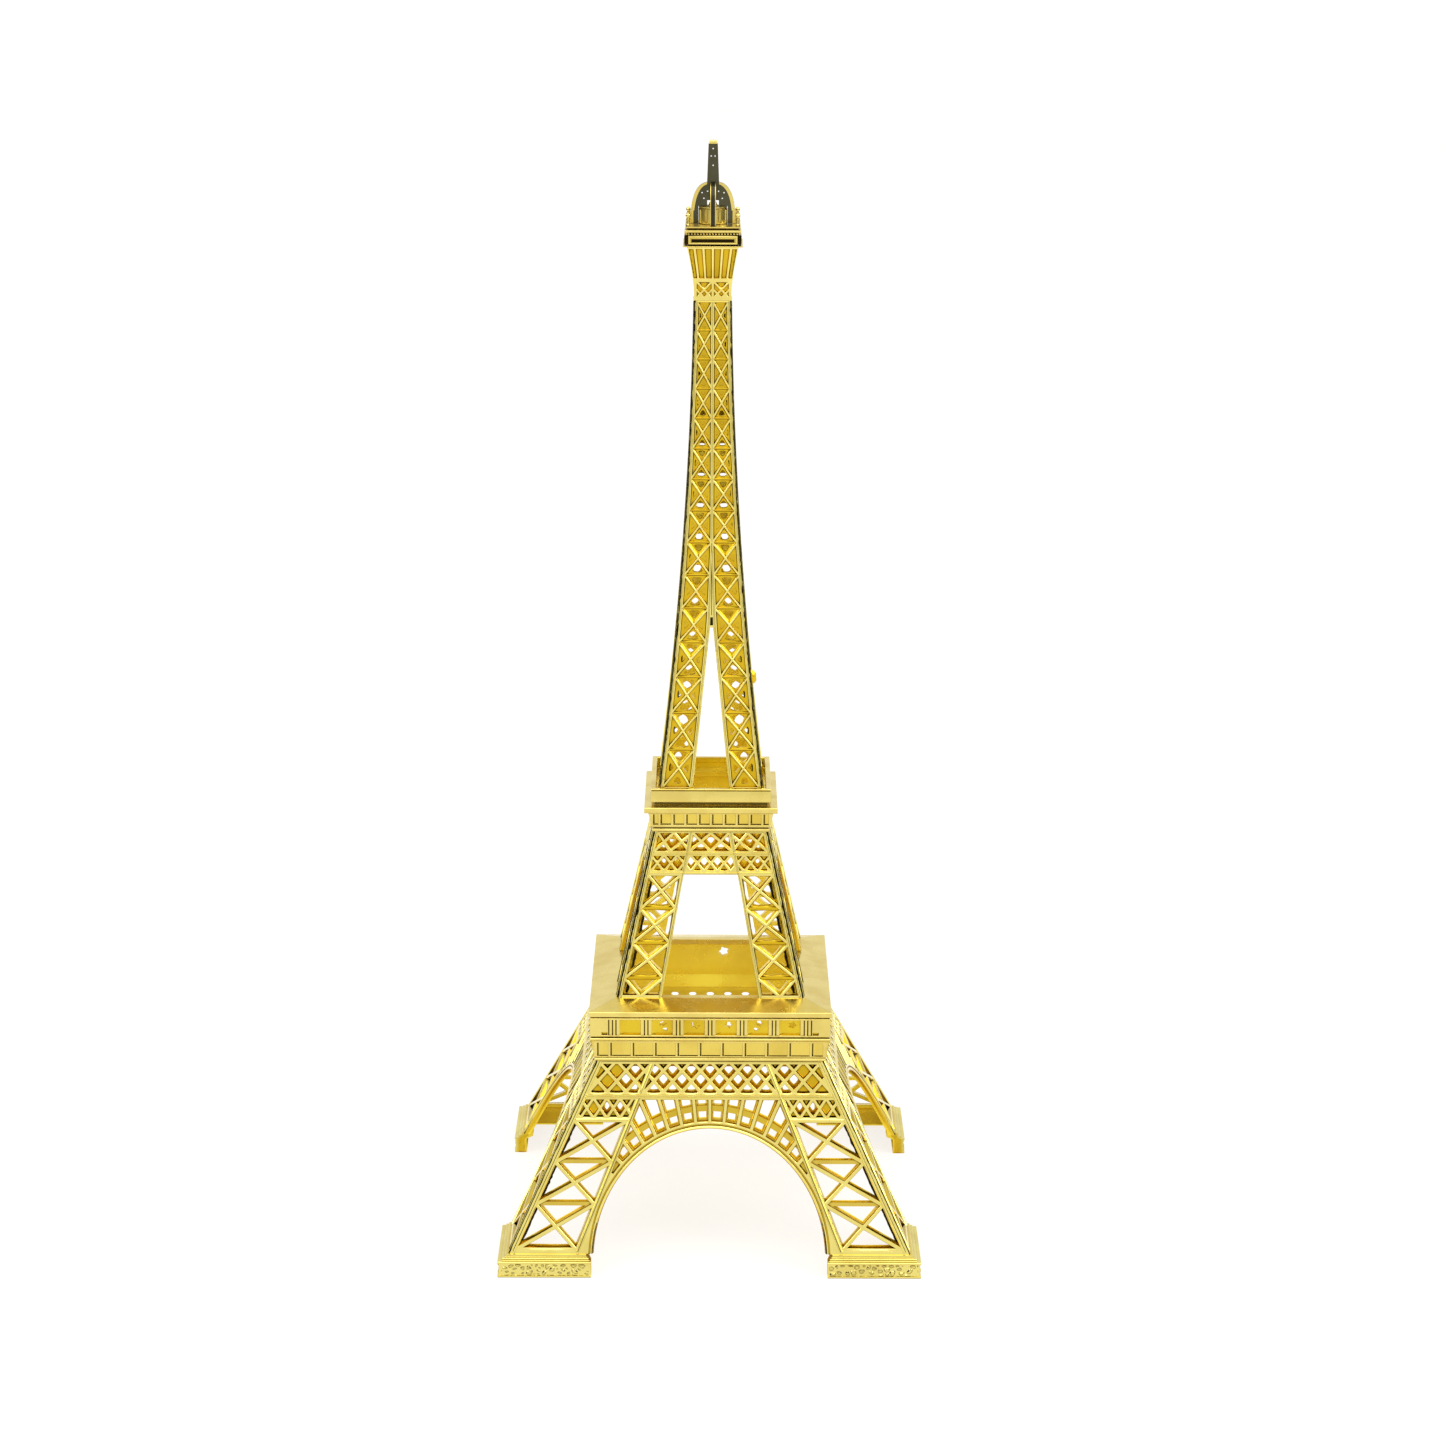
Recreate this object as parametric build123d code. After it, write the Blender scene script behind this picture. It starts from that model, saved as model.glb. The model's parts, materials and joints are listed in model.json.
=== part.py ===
"""Gold plated zinc souvenir: a four-sided iron lattice tower, 320 mm tall.

The origin is the centre of the square footprint, on the surface that the
tower stands on.  X runs left to right, -Y is the front, Z is up.  Every
size is in millimetres.

The tower is hollow.  Each tier is four flat die castings, one per side,
mitred and soldered together at the corners.  A casting is the overlap of
three simple bodies: its wall section, drawn as (half width, height) and run
across the side; a plan wedge that cuts both mitres; and its front elevation
with the lattice openings, run straight back.
"""
from build123d import *
import math
import os

SIDES = ("front", "right", "rear", "left")
REACH = 70.0
TOTAL_HEIGHT = 320.0

# Base tier: pedestals, leaning lattice legs and the arch.
PEDESTAL_HALF = 61.5
PEDESTAL_TOP_HALF = 61.2
PEDESTAL_BAND_TOP = 4.8
PEDESTAL_TOP = 6.3
PEDESTAL_INNER_END = 34.2
PEDESTAL_WALL = 4.0
BASE_FOOT_HALF = 58.3
BASE_LEAN = 0.5004
BASE_TOP = 56.5
BASE_WALL = 2.2
BASE_OUTER_CHORD = 1.9
INNER_CHORD_FOOT = (38.3, 7.0)
INNER_CHORD_LEAN = 0.441
INNER_CHORD_HALF = 0.6
LEG_NODES = (7.2, 18.9, 29.8, 40.6)
STRUT_HALF = 0.5
BASE_BAR = 1.2
PEDESTAL_STEP_TOP = 5.6
PEDESTAL_STEPS = (1.2, 2.1)
NARROW_BAND = (41.4, 46.3)
NARROW_PITCH = 3.85
NARROW_FIRST_CROSS = 24.3
NARROW_CROSSES = 2.4
MAIN_BAND = (47.7, 55.6)
MAIN_PITCH = 5.45
MAIN_UPPER_ROW = 53.6
MAIN_OPEN_WIDTH = 4.5
LATTICE_BAR = 1.2
ARCH_CENTRE_Z = 4.9
ARCH_RADIUS = 33.5
ARCH_BAND_RADIUS = 35.1
ARCH_RING = (38.3, 39.4)
ARCH_BAR_ANGLE = 6.6
ARCH_BARS = 8
ARCH_BAR_WIDTH = 1.0

# First platform: frieze, arcade, cornice and sloping roof.
GALLERY_BOTTOM_HALF = 33.8
FRIEZE_FOOT = 57.4
FRIEZE_TOP = 63.9
FRIEZE_TOP_HALF = 34.9
ARCADE_HALF = 35.0
CORNICE_BOTTOM = 70.0
CORNICE_TOP = 72.0
CORNICE_HALF = 35.3
ROOF_RIDGE_HALF = 27.7
ROOF_RIDGE = 73.8
ROOF_EDGE_HALF = 25.0
ROOF_THICKNESS = 1.6
GALLERY_WALL = 2.6
FRIEZE_PITCH = 6.53
FRIEZE_RIB = 0.7
FRIEZE_DEPTH = 0.5
FRIEZE_PANEL = (57.6, 62.2)
INNER_WALL_FOOT = 60.0
WINDOW_PITCH = 9.3
WINDOW_WIDTH = 6.2
WINDOW_PLACES = (-2.5, -1.5, -0.5, 0.5, 1.5, 2.5)
WINDOW_SILL = 64.8
WINDOW_HEAD = 69.6
WINDOW_DEPTH = 1.2

# Middle tier: four lattice legs joined by two lattice bands.
MIDDLE_FOOT_HALF = 27.5
MIDDLE_TOP = 121.4
MIDDLE_TOP_HALF = 16.83
MIDDLE_WALL = 2.4
MIDDLE_OUTER_CHORD = 1.7
MIDDLE_CHORD_FOOT = 14.2
MIDDLE_CHORD_LEAN = 0.1787
MIDDLE_NODES = (79.3, 89.3, 99.2, 109.0)
MIDDLE_BAR = 1.5
FINE_BAND = (109.7, 114.5)
FINE_PITCH = 3.9
CROSS_BAND = (115.4, 121.0)

# Second platform: bracket band, cornice and parapet.
BRACKET_HALF = 17.2
BRACKET_TOP_HALF = 18.2
BRACKET_FOOT = 123.2
BRACKET_PANEL = (123.4, 127.1)
BRACKET_PANEL_DEPTH = 0.5
PLATFORM_CORNICE = (127.3, 129.2)
PLATFORM_CORNICE_HALF = 19.4
PLATFORM_NECK_HALF = 16.9
PARAPET_BOTTOM = 130.2
PARAPET_TOP = 134.4
PARAPET_HALF = 17.5
PARAPET_INNER_HALF = 16.0
DECK_TOP = 131.2
DECK_BOTTOM = 129.6
DECK_INNER_HALF = 12.2
PLATFORM_WALL = 2.6
BRACKET_RIBS = 9
BRACKET_PITCH = 3.75

# Upper tier: legs that meet at the gap's apex and run on as one shaft.
UPPER_FOOT_HALF = 15.45
UPPER_TOP = 275.3
UPPER_TOP_HALF = 5.35
UPPER_SAG = 2.0
UPPER_WALL = 1.7
UPPER_FIRST_NODE = 134.2
UPPER_OPEN_BAYS = 8
GAP_APEX = 181.0
GAP_APEX_HALF = 0.45
GAP_LEAN = 0.103
UPPER_CHORD = 1.2
UPPER_OUTER_CHORD = 1.5
UPPER_BAR = 1.3
UPPER_BAY_MARGIN = 0.6
UPPER_BEAD = 0.7

# Top bracket, top platform, lantern and crossed spire plates.
BRACKET_TOP = 290.8
TOP_BRACKET_SECTION = ((5.25, 275.3), (5.35, 279.0), (5.95, 284.0), (6.7, 288.0), (7.3, 290.8))
TOP_BRACKET_HOLE = 3.4
FLANGE_HALF = 8.5
FLANGE_TOP = 291.6
GALLERY_BOX_HALF = 8.0
GALLERY_BOX_TOP = 294.8
GALLERY_SLOT = (12.0, 0.7)
UPPER_FLANGE_HALF = 7.7
LANTERN_FLOOR = 296.6
DRUM_RADIUS = 4.1
DRUM_TOP = 301.4
DRUM_FLUTES = 12
DRUM_FLUTE_RADIUS = 0.55
POST_PLACE = 7.0
POST_RADIUS = 0.5
POST_TOP = 299.6
SPIRE_THICKNESS = 1.2
SPIRE_FOOT_OUTER = 6.5
SPIRE_FOOT_INNER = 4.15
SPIRE_SPRING = 300.2
SPIRE_CROWN = 308.2
SPIRE_WEB = 301.45
SPIRE_NOTCH_HALF = 1.65
SPIRE_NOTCH_TOP = 303.1
SPIRE_SHOULDER = (4.6, 306.1)
MAST_BOTTOM_HALF = 1.7
MAST_TOP_HALF = 1.3
MAST_TOP = 319.0
HALVING_LEVEL = 306.0
PERFORATION_RADIUS = 0.22
PERFORATIONS = ((0, 317.6), (-0.55, 315.5), (0.55, 315.5), (0, 312.9))
CAP_HALF = 1.1
CAP_CHAMFER = 0.25

BEAD = 0.9


def base_half(z):
    """Half width of the base tier's front plane at height z."""
    return BASE_FOOT_HALF - BASE_LEAN * (z - PEDESTAL_TOP)


def inner_chord(z):
    """Distance of the base leg's inner chord from the centre line."""
    return INNER_CHORD_FOOT[0] - INNER_CHORD_LEAN * (z - INNER_CHORD_FOOT[1])


def middle_half(z):
    lean = (MIDDLE_FOOT_HALF - MIDDLE_TOP_HALF) / (MIDDLE_TOP - ROOF_RIDGE)
    return MIDDLE_FOOT_HALF - lean * (z - ROOF_RIDGE)


def middle_chord(z):
    return MIDDLE_CHORD_FOOT - MIDDLE_CHORD_LEAN * (z - ROOF_RIDGE)


def upper_half(z):
    """Half width of the upper tier, a shallow parabola between foot and top."""
    t = (z - DECK_TOP) / (UPPER_TOP - DECK_TOP)
    chord = UPPER_FOOT_HALF + (UPPER_TOP_HALF - UPPER_FOOT_HALF) * t
    return chord - 4 * UPPER_SAG * t * (1 - t)


def upper_node(n):
    """Height of the n-th lattice node; the bays shorten towards the top."""
    return UPPER_FIRST_NODE + 11.2 * n - 0.157 * n**2 + 0.0024 * n**3


def gap_half(z):
    """Half width of the gap between the two legs of one upper side."""
    return GAP_APEX_HALF + GAP_LEAN * (GAP_APEX - z)


def outline(points):
    return make_face(Polyline(*points, close=True))


def section_body(points):
    """Run a wall section of (half width, height) points across the front side."""
    face = make_face(Polyline(*[(-half, z) for half, z in points], close=True))
    return extrude(Plane.YZ * face, amount=REACH, both=True)


def elevation_body(sketch):
    """Run a front elevation of (x, height) straight back to the centre."""
    return extrude(Plane.XZ * sketch, amount=REACH)


def mitre_wedge():
    plan = outline([(0, 0), (REACH, -REACH), (-REACH, -REACH)])
    return extrude(plan, amount=TOTAL_HEIGHT)


def bar(start, end, width):
    """A straight bar of the elevation, as a rectangle about its centre line."""
    run = Vector(*end) - Vector(*start)
    middle = (Vector(*end) + Vector(*start)) * 0.5
    angle = math.degrees(math.atan2(run.Y, run.X))
    return Pos(middle.X, middle.Y) * Rot(0, 0, angle) * Rectangle(run.length + width, width)


def openings(region, bars):
    """The clear cells that a set of bars leaves in a region."""
    cells = region
    for one_bar in bars:
        cells -= one_bar
    return Sketch([face for face in cells.faces() if face.area > 0.8])


def both_legs(sketch):
    return sketch + mirror(sketch, about=Plane.YZ)


def four_sides(tier, front_casting):
    """Write one casting per side, turned about the tower's axis."""
    for turn, side in enumerate(SIDES):
        casting = Rot(0, 0, 90 * turn) * front_casting
        write(f"{tier}_{side}", casting)


def write(name, shape):
    export_step(shape, f"parts/{name}.step")


def crossing_bars(low, high, width):
    """Two bars that cross between a lower pair and an upper pair of points."""
    return [bar(low[0], high[1], width), bar(low[1], high[0], width)]


def base_leg_cells():
    """Three crossed bays on the right-hand leg."""
    cells = Sketch()
    for bottom, top in zip(LEG_NODES, LEG_NODES[1:]):
        z0 = bottom + STRUT_HALF
        z1 = top - STRUT_HALF
        region = outline([
            (inner_chord(z0) + INNER_CHORD_HALF, z0), (base_half(z0) - BASE_OUTER_CHORD, z0),
            (base_half(z1) - BASE_OUTER_CHORD, z1), (inner_chord(z1) + INNER_CHORD_HALF, z1),
        ])
        low = [(inner_chord(bottom), bottom), (base_half(bottom) - BASE_OUTER_CHORD, bottom)]
        high = [(inner_chord(top), top), (base_half(top) - BASE_OUTER_CHORD, top)]
        cells += openings(region, crossing_bars(low, high, BASE_BAR))
    return cells


def narrow_band_cells():
    """One row of crosses over the right-hand leg."""
    z0, z1 = NARROW_BAND
    inner_end = inner_chord(z0) + INNER_CHORD_HALF
    outer_end = inner_end + NARROW_CROSSES * NARROW_PITCH
    region = outline([
        (inner_end, z0), (outer_end, z0), (outer_end, z1), (inner_chord(z1) + INNER_CHORD_HALF, z1),
    ])
    bars = []
    for k in range(4):
        x = NARROW_FIRST_CROSS + k * NARROW_PITCH
        bars += crossing_bars([(x - NARROW_PITCH / 2, z0), (x + NARROW_PITCH / 2, z0)],
                              [(x - NARROW_PITCH / 2, z1), (x + NARROW_PITCH / 2, z1)], LATTICE_BAR)
    return openings(region, bars)


def main_band_cells():
    """Diamond lattice across the whole side, above the arch."""
    z0, z1 = MAIN_BAND
    half = MAIN_OPEN_WIDTH * MAIN_PITCH
    region = outline([(-half, z0), (half, z0), (half, z1), (-half, z1)])
    bars = []
    for k in range(-7, 7):
        x = (k + 0.5) * MAIN_PITCH
        below = MAIN_UPPER_ROW - z0
        above = z1 - MAIN_UPPER_ROW
        bars.append(bar((x - below, z0), (x + above, z1), LATTICE_BAR))
        bars.append(bar((x + below, z0), (x - above, z1), LATTICE_BAR))
    for side in (-1, 1):
        bars.append(bar((side * inner_chord(z0), z0), (side * inner_chord(z1), z1), 2 * INNER_CHORD_HALF))
    return openings(region, bars)


def arch_cells():
    """Openings between the arch band, its middle ring and the chord above it."""
    top = NARROW_BAND[1]
    low = ARCH_CENTRE_Z + 20
    reach = INNER_CHORD_HALF
    spandrel = outline([
        (inner_chord(low) - reach, low), (inner_chord(top) - reach, top),
        (-inner_chord(top) + reach, top), (-inner_chord(low) + reach, low),
    ])
    centre = Pos(0, ARCH_CENTRE_Z)
    ring = centre * (Circle(ARCH_RING[1]) - Circle(ARCH_RING[0]))
    bars = [centre * Circle(ARCH_BAND_RADIUS), ring]
    spoke_length = 18.0
    spoke_middle = ARCH_RADIUS + spoke_length / 2
    for k in range(-ARCH_BARS, ARCH_BARS + 1):
        turn = Rot(0, 0, 90 + k * ARCH_BAR_ANGLE)
        bars.append(centre * turn * Pos(spoke_middle, 0) * Rectangle(spoke_length, ARCH_BAR_WIDTH))
    return openings(spandrel, bars)


def arch_opening():
    """The clear space under the arch, down to the ground."""
    doorway = outline([
        (-ARCH_RADIUS, 0), (ARCH_RADIUS, 0),
        (ARCH_RADIUS, ARCH_CENTRE_Z), (-ARCH_RADIUS, ARCH_CENTRE_Z),
    ])
    return doorway + Pos(0, ARCH_CENTRE_Z) * Circle(ARCH_RADIUS)


def base_side():
    """One base casting: two pedestals, two lattice legs and the arch between them."""
    inner_foot = base_half(PEDESTAL_TOP) - BASE_WALL
    first_step, second_step = [PEDESTAL_TOP_HALF - step for step in PEDESTAL_STEPS]
    section = [
        (PEDESTAL_HALF, 0), (PEDESTAL_TOP_HALF, PEDESTAL_BAND_TOP),
        (first_step, PEDESTAL_BAND_TOP), (first_step, PEDESTAL_STEP_TOP),
        (second_step, PEDESTAL_STEP_TOP), (second_step, PEDESTAL_TOP),
        (base_half(PEDESTAL_TOP), PEDESTAL_TOP), (base_half(BASE_TOP), BASE_TOP),
        (base_half(BASE_TOP) - BASE_WALL, BASE_TOP), (inner_foot, PEDESTAL_TOP),
        (inner_foot, PEDESTAL_BAND_TOP), (PEDESTAL_HALF - PEDESTAL_WALL, PEDESTAL_BAND_TOP),
        (PEDESTAL_HALF - PEDESTAL_WALL, 0),
    ]
    elevation = outline([(-REACH, 0), (REACH, 0), (REACH, BASE_TOP), (-REACH, BASE_TOP)])
    between_pedestals = outline([
        (-PEDESTAL_INNER_END, 0), (PEDESTAL_INNER_END, 0),
        (PEDESTAL_INNER_END, PEDESTAL_TOP), (-PEDESTAL_INNER_END, PEDESTAL_TOP),
    ])
    elevation -= arch_opening() + between_pedestals
    elevation -= both_legs(base_leg_cells() + narrow_band_cells())
    elevation -= main_band_cells()
    elevation -= arch_cells()
    return section_body(section) & mitre_wedge() & elevation_body(elevation)


def gallery_side():
    """One side of the first platform: ribbed frieze, blind arcade and roof slope."""
    inner_half = ARCADE_HALF - GALLERY_WALL
    section = [
        (base_half(BASE_TOP) - BASE_WALL, BASE_TOP), (GALLERY_BOTTOM_HALF, BASE_TOP),
        (GALLERY_BOTTOM_HALF, FRIEZE_FOOT), (FRIEZE_TOP_HALF, FRIEZE_TOP), (ARCADE_HALF, FRIEZE_TOP),
        (ARCADE_HALF, CORNICE_BOTTOM), (CORNICE_HALF, CORNICE_BOTTOM), (CORNICE_HALF, CORNICE_TOP),
        (ROOF_RIDGE_HALF, ROOF_RIDGE), (ROOF_EDGE_HALF, ROOF_RIDGE),
        (ROOF_EDGE_HALF, ROOF_RIDGE - ROOF_THICKNESS), (ROOF_RIDGE_HALF, ROOF_RIDGE - ROOF_THICKNESS),
        (inner_half, CORNICE_TOP - ROOF_THICKNESS - 0.4), (inner_half, INNER_WALL_FOOT),
    ]
    body = section_body(section) & mitre_wedge()
    for k in WINDOW_PLACES:
        window = Box(WINDOW_WIDTH, 2 * WINDOW_DEPTH, WINDOW_HEAD - WINDOW_SILL)
        body -= Pos(k * WINDOW_PITCH, -ARCADE_HALF, (WINDOW_HEAD + WINDOW_SILL) / 2) * window
    return body - frieze_recesses()


def frieze_recesses():
    """Shallow panels between the frieze ribs, following the frieze's outward lean."""
    z0, z1 = FRIEZE_PANEL
    lean = (FRIEZE_TOP_HALF - GALLERY_BOTTOM_HALF) / (FRIEZE_TOP - FRIEZE_FOOT)
    face0 = GALLERY_BOTTOM_HALF + lean * (z0 - FRIEZE_FOOT)
    face1 = GALLERY_BOTTOM_HALF + lean * (z1 - FRIEZE_FOOT)
    layer = section_body([
        (face0 + 1, z0), (face1 + 1, z1), (face1 - FRIEZE_DEPTH, z1), (face0 - FRIEZE_DEPTH, z0),
    ])
    panels = Sketch()
    width = FRIEZE_PITCH - FRIEZE_RIB
    for k in range(-4, 5):
        panels += Pos(k * FRIEZE_PITCH, (z0 + z1) / 2) * Rectangle(width, z1 - z0)
    return layer & elevation_body(panels)


def middle_leg_bays():
    """Half bay at the foot and three crossed bays, on the right-hand leg."""
    cells = Sketch()
    levels = (2 * ROOF_RIDGE - MIDDLE_NODES[0],) + MIDDLE_NODES
    for bottom, top in zip(levels, levels[1:]):
        z0 = max(bottom, ROOF_RIDGE) + STRUT_HALF
        z1 = top - STRUT_HALF
        region = outline([
            (middle_chord(z0) + 1.0, z0), (middle_half(z0) - MIDDLE_OUTER_CHORD, z0),
            (middle_half(z1) - MIDDLE_OUTER_CHORD, z1), (middle_chord(z1) + 1.0, z1),
        ])
        low = [(middle_chord(bottom) + 0.5, bottom), (middle_half(bottom) - 1.2, bottom)]
        high = [(middle_chord(top) + 0.5, top), (middle_half(top) - 1.2, top)]
        cells += openings(region, crossing_bars(low, high, MIDDLE_BAR))
    return cells


def fine_band_cells():
    """Small diamonds between the two inner chords and over the legs."""
    z0, z1 = FINE_BAND
    region = outline([
        (-middle_half(z0) + MIDDLE_OUTER_CHORD, z0), (middle_half(z0) - MIDDLE_OUTER_CHORD, z0),
        (middle_half(z1) - MIDDLE_OUTER_CHORD, z1), (-middle_half(z1) + MIDDLE_OUTER_CHORD, z1),
    ])
    bars = []
    for k in range(-4, 5):
        x = k * FINE_PITCH
        bars += crossing_bars([(x - FINE_PITCH / 2, z0), (x + FINE_PITCH / 2, z0)],
                              [(x - FINE_PITCH / 2, z1), (x + FINE_PITCH / 2, z1)], LATTICE_BAR)
    for side in (-1, 1):
        bars.append(bar((side * middle_chord(z0), z0), (side * middle_chord(z1), z1), 1.4))
    return openings(region, bars)


def cross_band_cells():
    """Two crosses over each leg and two between the legs, under the platform."""
    z0, z1 = CROSS_BAND
    edge0 = middle_half(z0) - MIDDLE_OUTER_CHORD
    edge1 = middle_half(z1) - MIDDLE_OUTER_CHORD
    region = outline([(-edge0, z0), (edge0, z0), (edge1, z1), (-edge1, z1)])
    posts0 = [0, middle_chord(z0), (middle_chord(z0) + edge0) / 2, edge0]
    posts1 = [0, middle_chord(z1), (middle_chord(z1) + edge1) / 2, edge1]
    bars = []
    for side in (-1, 1):
        for k in range(3):
            low = [(side * posts0[k], z0), (side * posts0[k + 1], z0)]
            high = [(side * posts1[k], z1), (side * posts1[k + 1], z1)]
            bars += crossing_bars(low, high, MIDDLE_BAR)
        bars.append(bar((side * posts0[1], z0), (side * posts1[1], z1), 1.4))
    return openings(region, bars)


def middle_side():
    """One middle casting: two lattice legs joined by the fine band and the cross band."""
    section = [
        (MIDDLE_FOOT_HALF, ROOF_RIDGE), (MIDDLE_TOP_HALF, MIDDLE_TOP),
        (MIDDLE_TOP_HALF - MIDDLE_WALL, MIDDLE_TOP), (MIDDLE_FOOT_HALF - MIDDLE_WALL, ROOF_RIDGE),
    ]
    gap_top = MIDDLE_NODES[-1]
    elevation = outline([
        (-REACH, ROOF_RIDGE), (REACH, ROOF_RIDGE), (REACH, MIDDLE_TOP), (-REACH, MIDDLE_TOP),
    ])
    elevation -= outline([
        (-middle_chord(ROOF_RIDGE), ROOF_RIDGE), (middle_chord(ROOF_RIDGE), ROOF_RIDGE),
        (middle_chord(gap_top), gap_top), (-middle_chord(gap_top), gap_top),
    ])
    elevation -= both_legs(middle_leg_bays())
    elevation -= fine_band_cells() + cross_band_cells()
    return section_body(section) & mitre_wedge() & elevation_body(elevation)


def platform_side():
    """One side of the second platform: bracket band, cornice, parapet and deck strip."""
    section = [
        (BRACKET_HALF, MIDDLE_TOP), (BRACKET_HALF, BRACKET_FOOT), (BRACKET_TOP_HALF, PLATFORM_CORNICE[0]),
        (PLATFORM_CORNICE_HALF, PLATFORM_CORNICE[0]), (PLATFORM_CORNICE_HALF, PLATFORM_CORNICE[1]),
        (PLATFORM_NECK_HALF, PLATFORM_CORNICE[1]), (PLATFORM_NECK_HALF, PARAPET_BOTTOM),
        (PARAPET_HALF, PARAPET_BOTTOM), (PARAPET_HALF, PARAPET_TOP), (PARAPET_INNER_HALF, PARAPET_TOP),
        (PARAPET_INNER_HALF, DECK_TOP), (DECK_INNER_HALF, DECK_TOP), (DECK_INNER_HALF, DECK_BOTTOM),
        (BRACKET_HALF - PLATFORM_WALL, DECK_BOTTOM), (BRACKET_HALF - PLATFORM_WALL, MIDDLE_TOP),
    ]
    body = section_body(section) & mitre_wedge()
    z0, z1 = BRACKET_PANEL
    clear = 2.0
    layer = section_body([
        (BRACKET_HALF + clear, z0), (BRACKET_TOP_HALF + clear, z1),
        (BRACKET_TOP_HALF - BRACKET_PANEL_DEPTH, z1), (BRACKET_HALF - BRACKET_PANEL_DEPTH, z0),
    ])
    panels = Sketch()
    for k in range(BRACKET_RIBS - 1):
        x = (k - (BRACKET_RIBS - 2) / 2) * BRACKET_PITCH
        panels += Pos(x, (z0 + z1) / 2) * Rectangle(BRACKET_PITCH - 0.6, z1 - z0)
    return body - (layer & elevation_body(panels))


def upper_bay_cells():
    """Crossed bays of the right-hand column; above the apex they meet the centre chord."""
    cells = Sketch()
    for n in range(UPPER_OPEN_BAYS):
        bottom, top = upper_node(n), upper_node(n + 1)
        inner = [max(gap_half(z), GAP_APEX_HALF) + UPPER_CHORD for z in (bottom, top)]
        outer = [upper_half(z) - UPPER_OUTER_CHORD for z in (bottom, top)]
        z0, z1 = bottom + UPPER_BAY_MARGIN, top - UPPER_BAY_MARGIN
        region = outline([(inner[0], z0), (outer[0], z0), (outer[1], z1), (inner[1], z1)])
        low = [(inner[0], bottom), (outer[0], bottom)]
        high = [(inner[1], top), (outer[1], top)]
        cells += openings(region, crossing_bars(low, high, UPPER_BAR))
    return cells


def upper_wall_section(outer_shift, inner_shift):
    """Curved wall of the upper tier between two offsets from its outer face."""
    levels = (DECK_TOP, (DECK_TOP + UPPER_TOP) / 2, UPPER_TOP)
    outer = [(-(upper_half(z) - outer_shift), z) for z in levels]
    inner = [(-(upper_half(z) - inner_shift), z) for z in levels]
    edges = [
        ThreePointArc(*outer), Line(outer[2], inner[2]),
        ThreePointArc(*reversed(inner)), Line(inner[0], outer[0]),
    ]
    return extrude(Plane.YZ * make_face(edges), amount=REACH, both=True)


def upper_side():
    """One upper casting: two lattice legs that merge into a single tapering shaft."""
    elevation = outline([(-REACH, DECK_TOP), (REACH, DECK_TOP), (REACH, UPPER_TOP), (-REACH, UPPER_TOP)])
    elevation -= outline([
        (-gap_half(DECK_TOP), DECK_TOP), (gap_half(DECK_TOP), DECK_TOP),
        (GAP_APEX_HALF, GAP_APEX), (-GAP_APEX_HALF, GAP_APEX),
    ])
    elevation -= both_legs(upper_bay_cells())
    return upper_wall_section(0, UPPER_WALL) & mitre_wedge() & elevation_body(elevation)


def top_bracket():
    """Flared square collar that carries the top platform."""
    points = list(TOP_BRACKET_SECTION)
    outline_points = [(half, z) for half, z in points] + [(-half, z) for half, z in reversed(points)]
    profile = outline(outline_points)
    along_y = extrude(Plane.XZ * profile, amount=REACH, both=True)
    along_x = extrude(Plane.YZ * profile, amount=REACH, both=True)
    hole = Pos(0, 0, (UPPER_TOP + BRACKET_TOP) / 2) * Box(2 * TOP_BRACKET_HOLE, 2 * TOP_BRACKET_HOLE, 20)
    return (along_y & along_x) - hole


def slab(half, z0, z1):
    return Pos(0, 0, (z0 + z1) / 2) * Box(2 * half, 2 * half, z1 - z0)


def top_platform():
    """Square gallery box between two flanges, with a long slot in each side."""
    body = slab(FLANGE_HALF, BRACKET_TOP, FLANGE_TOP) + slab(GALLERY_BOX_HALF, FLANGE_TOP, GALLERY_BOX_TOP)
    body += slab(UPPER_FLANGE_HALF, GALLERY_BOX_TOP, LANTERN_FLOOR)
    slot_z = (FLANGE_TOP + GALLERY_BOX_TOP) / 2
    slot = Pos(0, -GALLERY_BOX_HALF, slot_z) * Box(GALLERY_SLOT[0], 1.0, GALLERY_SLOT[1])
    for turn in range(4):
        body -= Rot(0, 0, 90 * turn) * slot
    return body


def lantern_drum():
    """Fluted drum at the centre of the top platform, slotted for the spire plates."""
    body = Pos(0, 0, LANTERN_FLOOR) * extrude(Circle(DRUM_RADIUS), amount=DRUM_TOP - LANTERN_FLOOR)
    for k in range(DRUM_FLUTES):
        flute = extrude(Circle(DRUM_FLUTE_RADIUS), amount=DRUM_TOP - LANTERN_FLOOR - 1.2)
        turn = Rot(0, 0, (k + 0.5) * 360 / DRUM_FLUTES)
        body -= Pos(0, 0, LANTERN_FLOOR + 0.6) * turn * Pos(DRUM_RADIUS, 0) * flute
    return body


def finial():
    """Small domed knob on the drum, under the spire."""
    disc = extrude(Circle(1.6), amount=0.4)
    dome = (Pos(0, 0, 0.4) * Sphere(1.2)) & (Pos(0, 0, 2) * Box(4, 4, 4))
    return Pos(0, 0, DRUM_TOP) * (disc + dome)


def corner_posts():
    """Four slim posts at the corners of the top platform."""
    post = Pos(0, 0, LANTERN_FLOOR) * extrude(Circle(POST_RADIUS), amount=POST_TOP - LANTERN_FLOOR)
    ball = Pos(0, 0, POST_TOP) * Sphere(0.7)
    post = post + ball
    places = [(sx * POST_PLACE, sy * POST_PLACE) for sx in (-1, 1) for sy in (-1, 1)]
    return Compound([Pos(x, y) * post for x, y in places])


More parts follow.
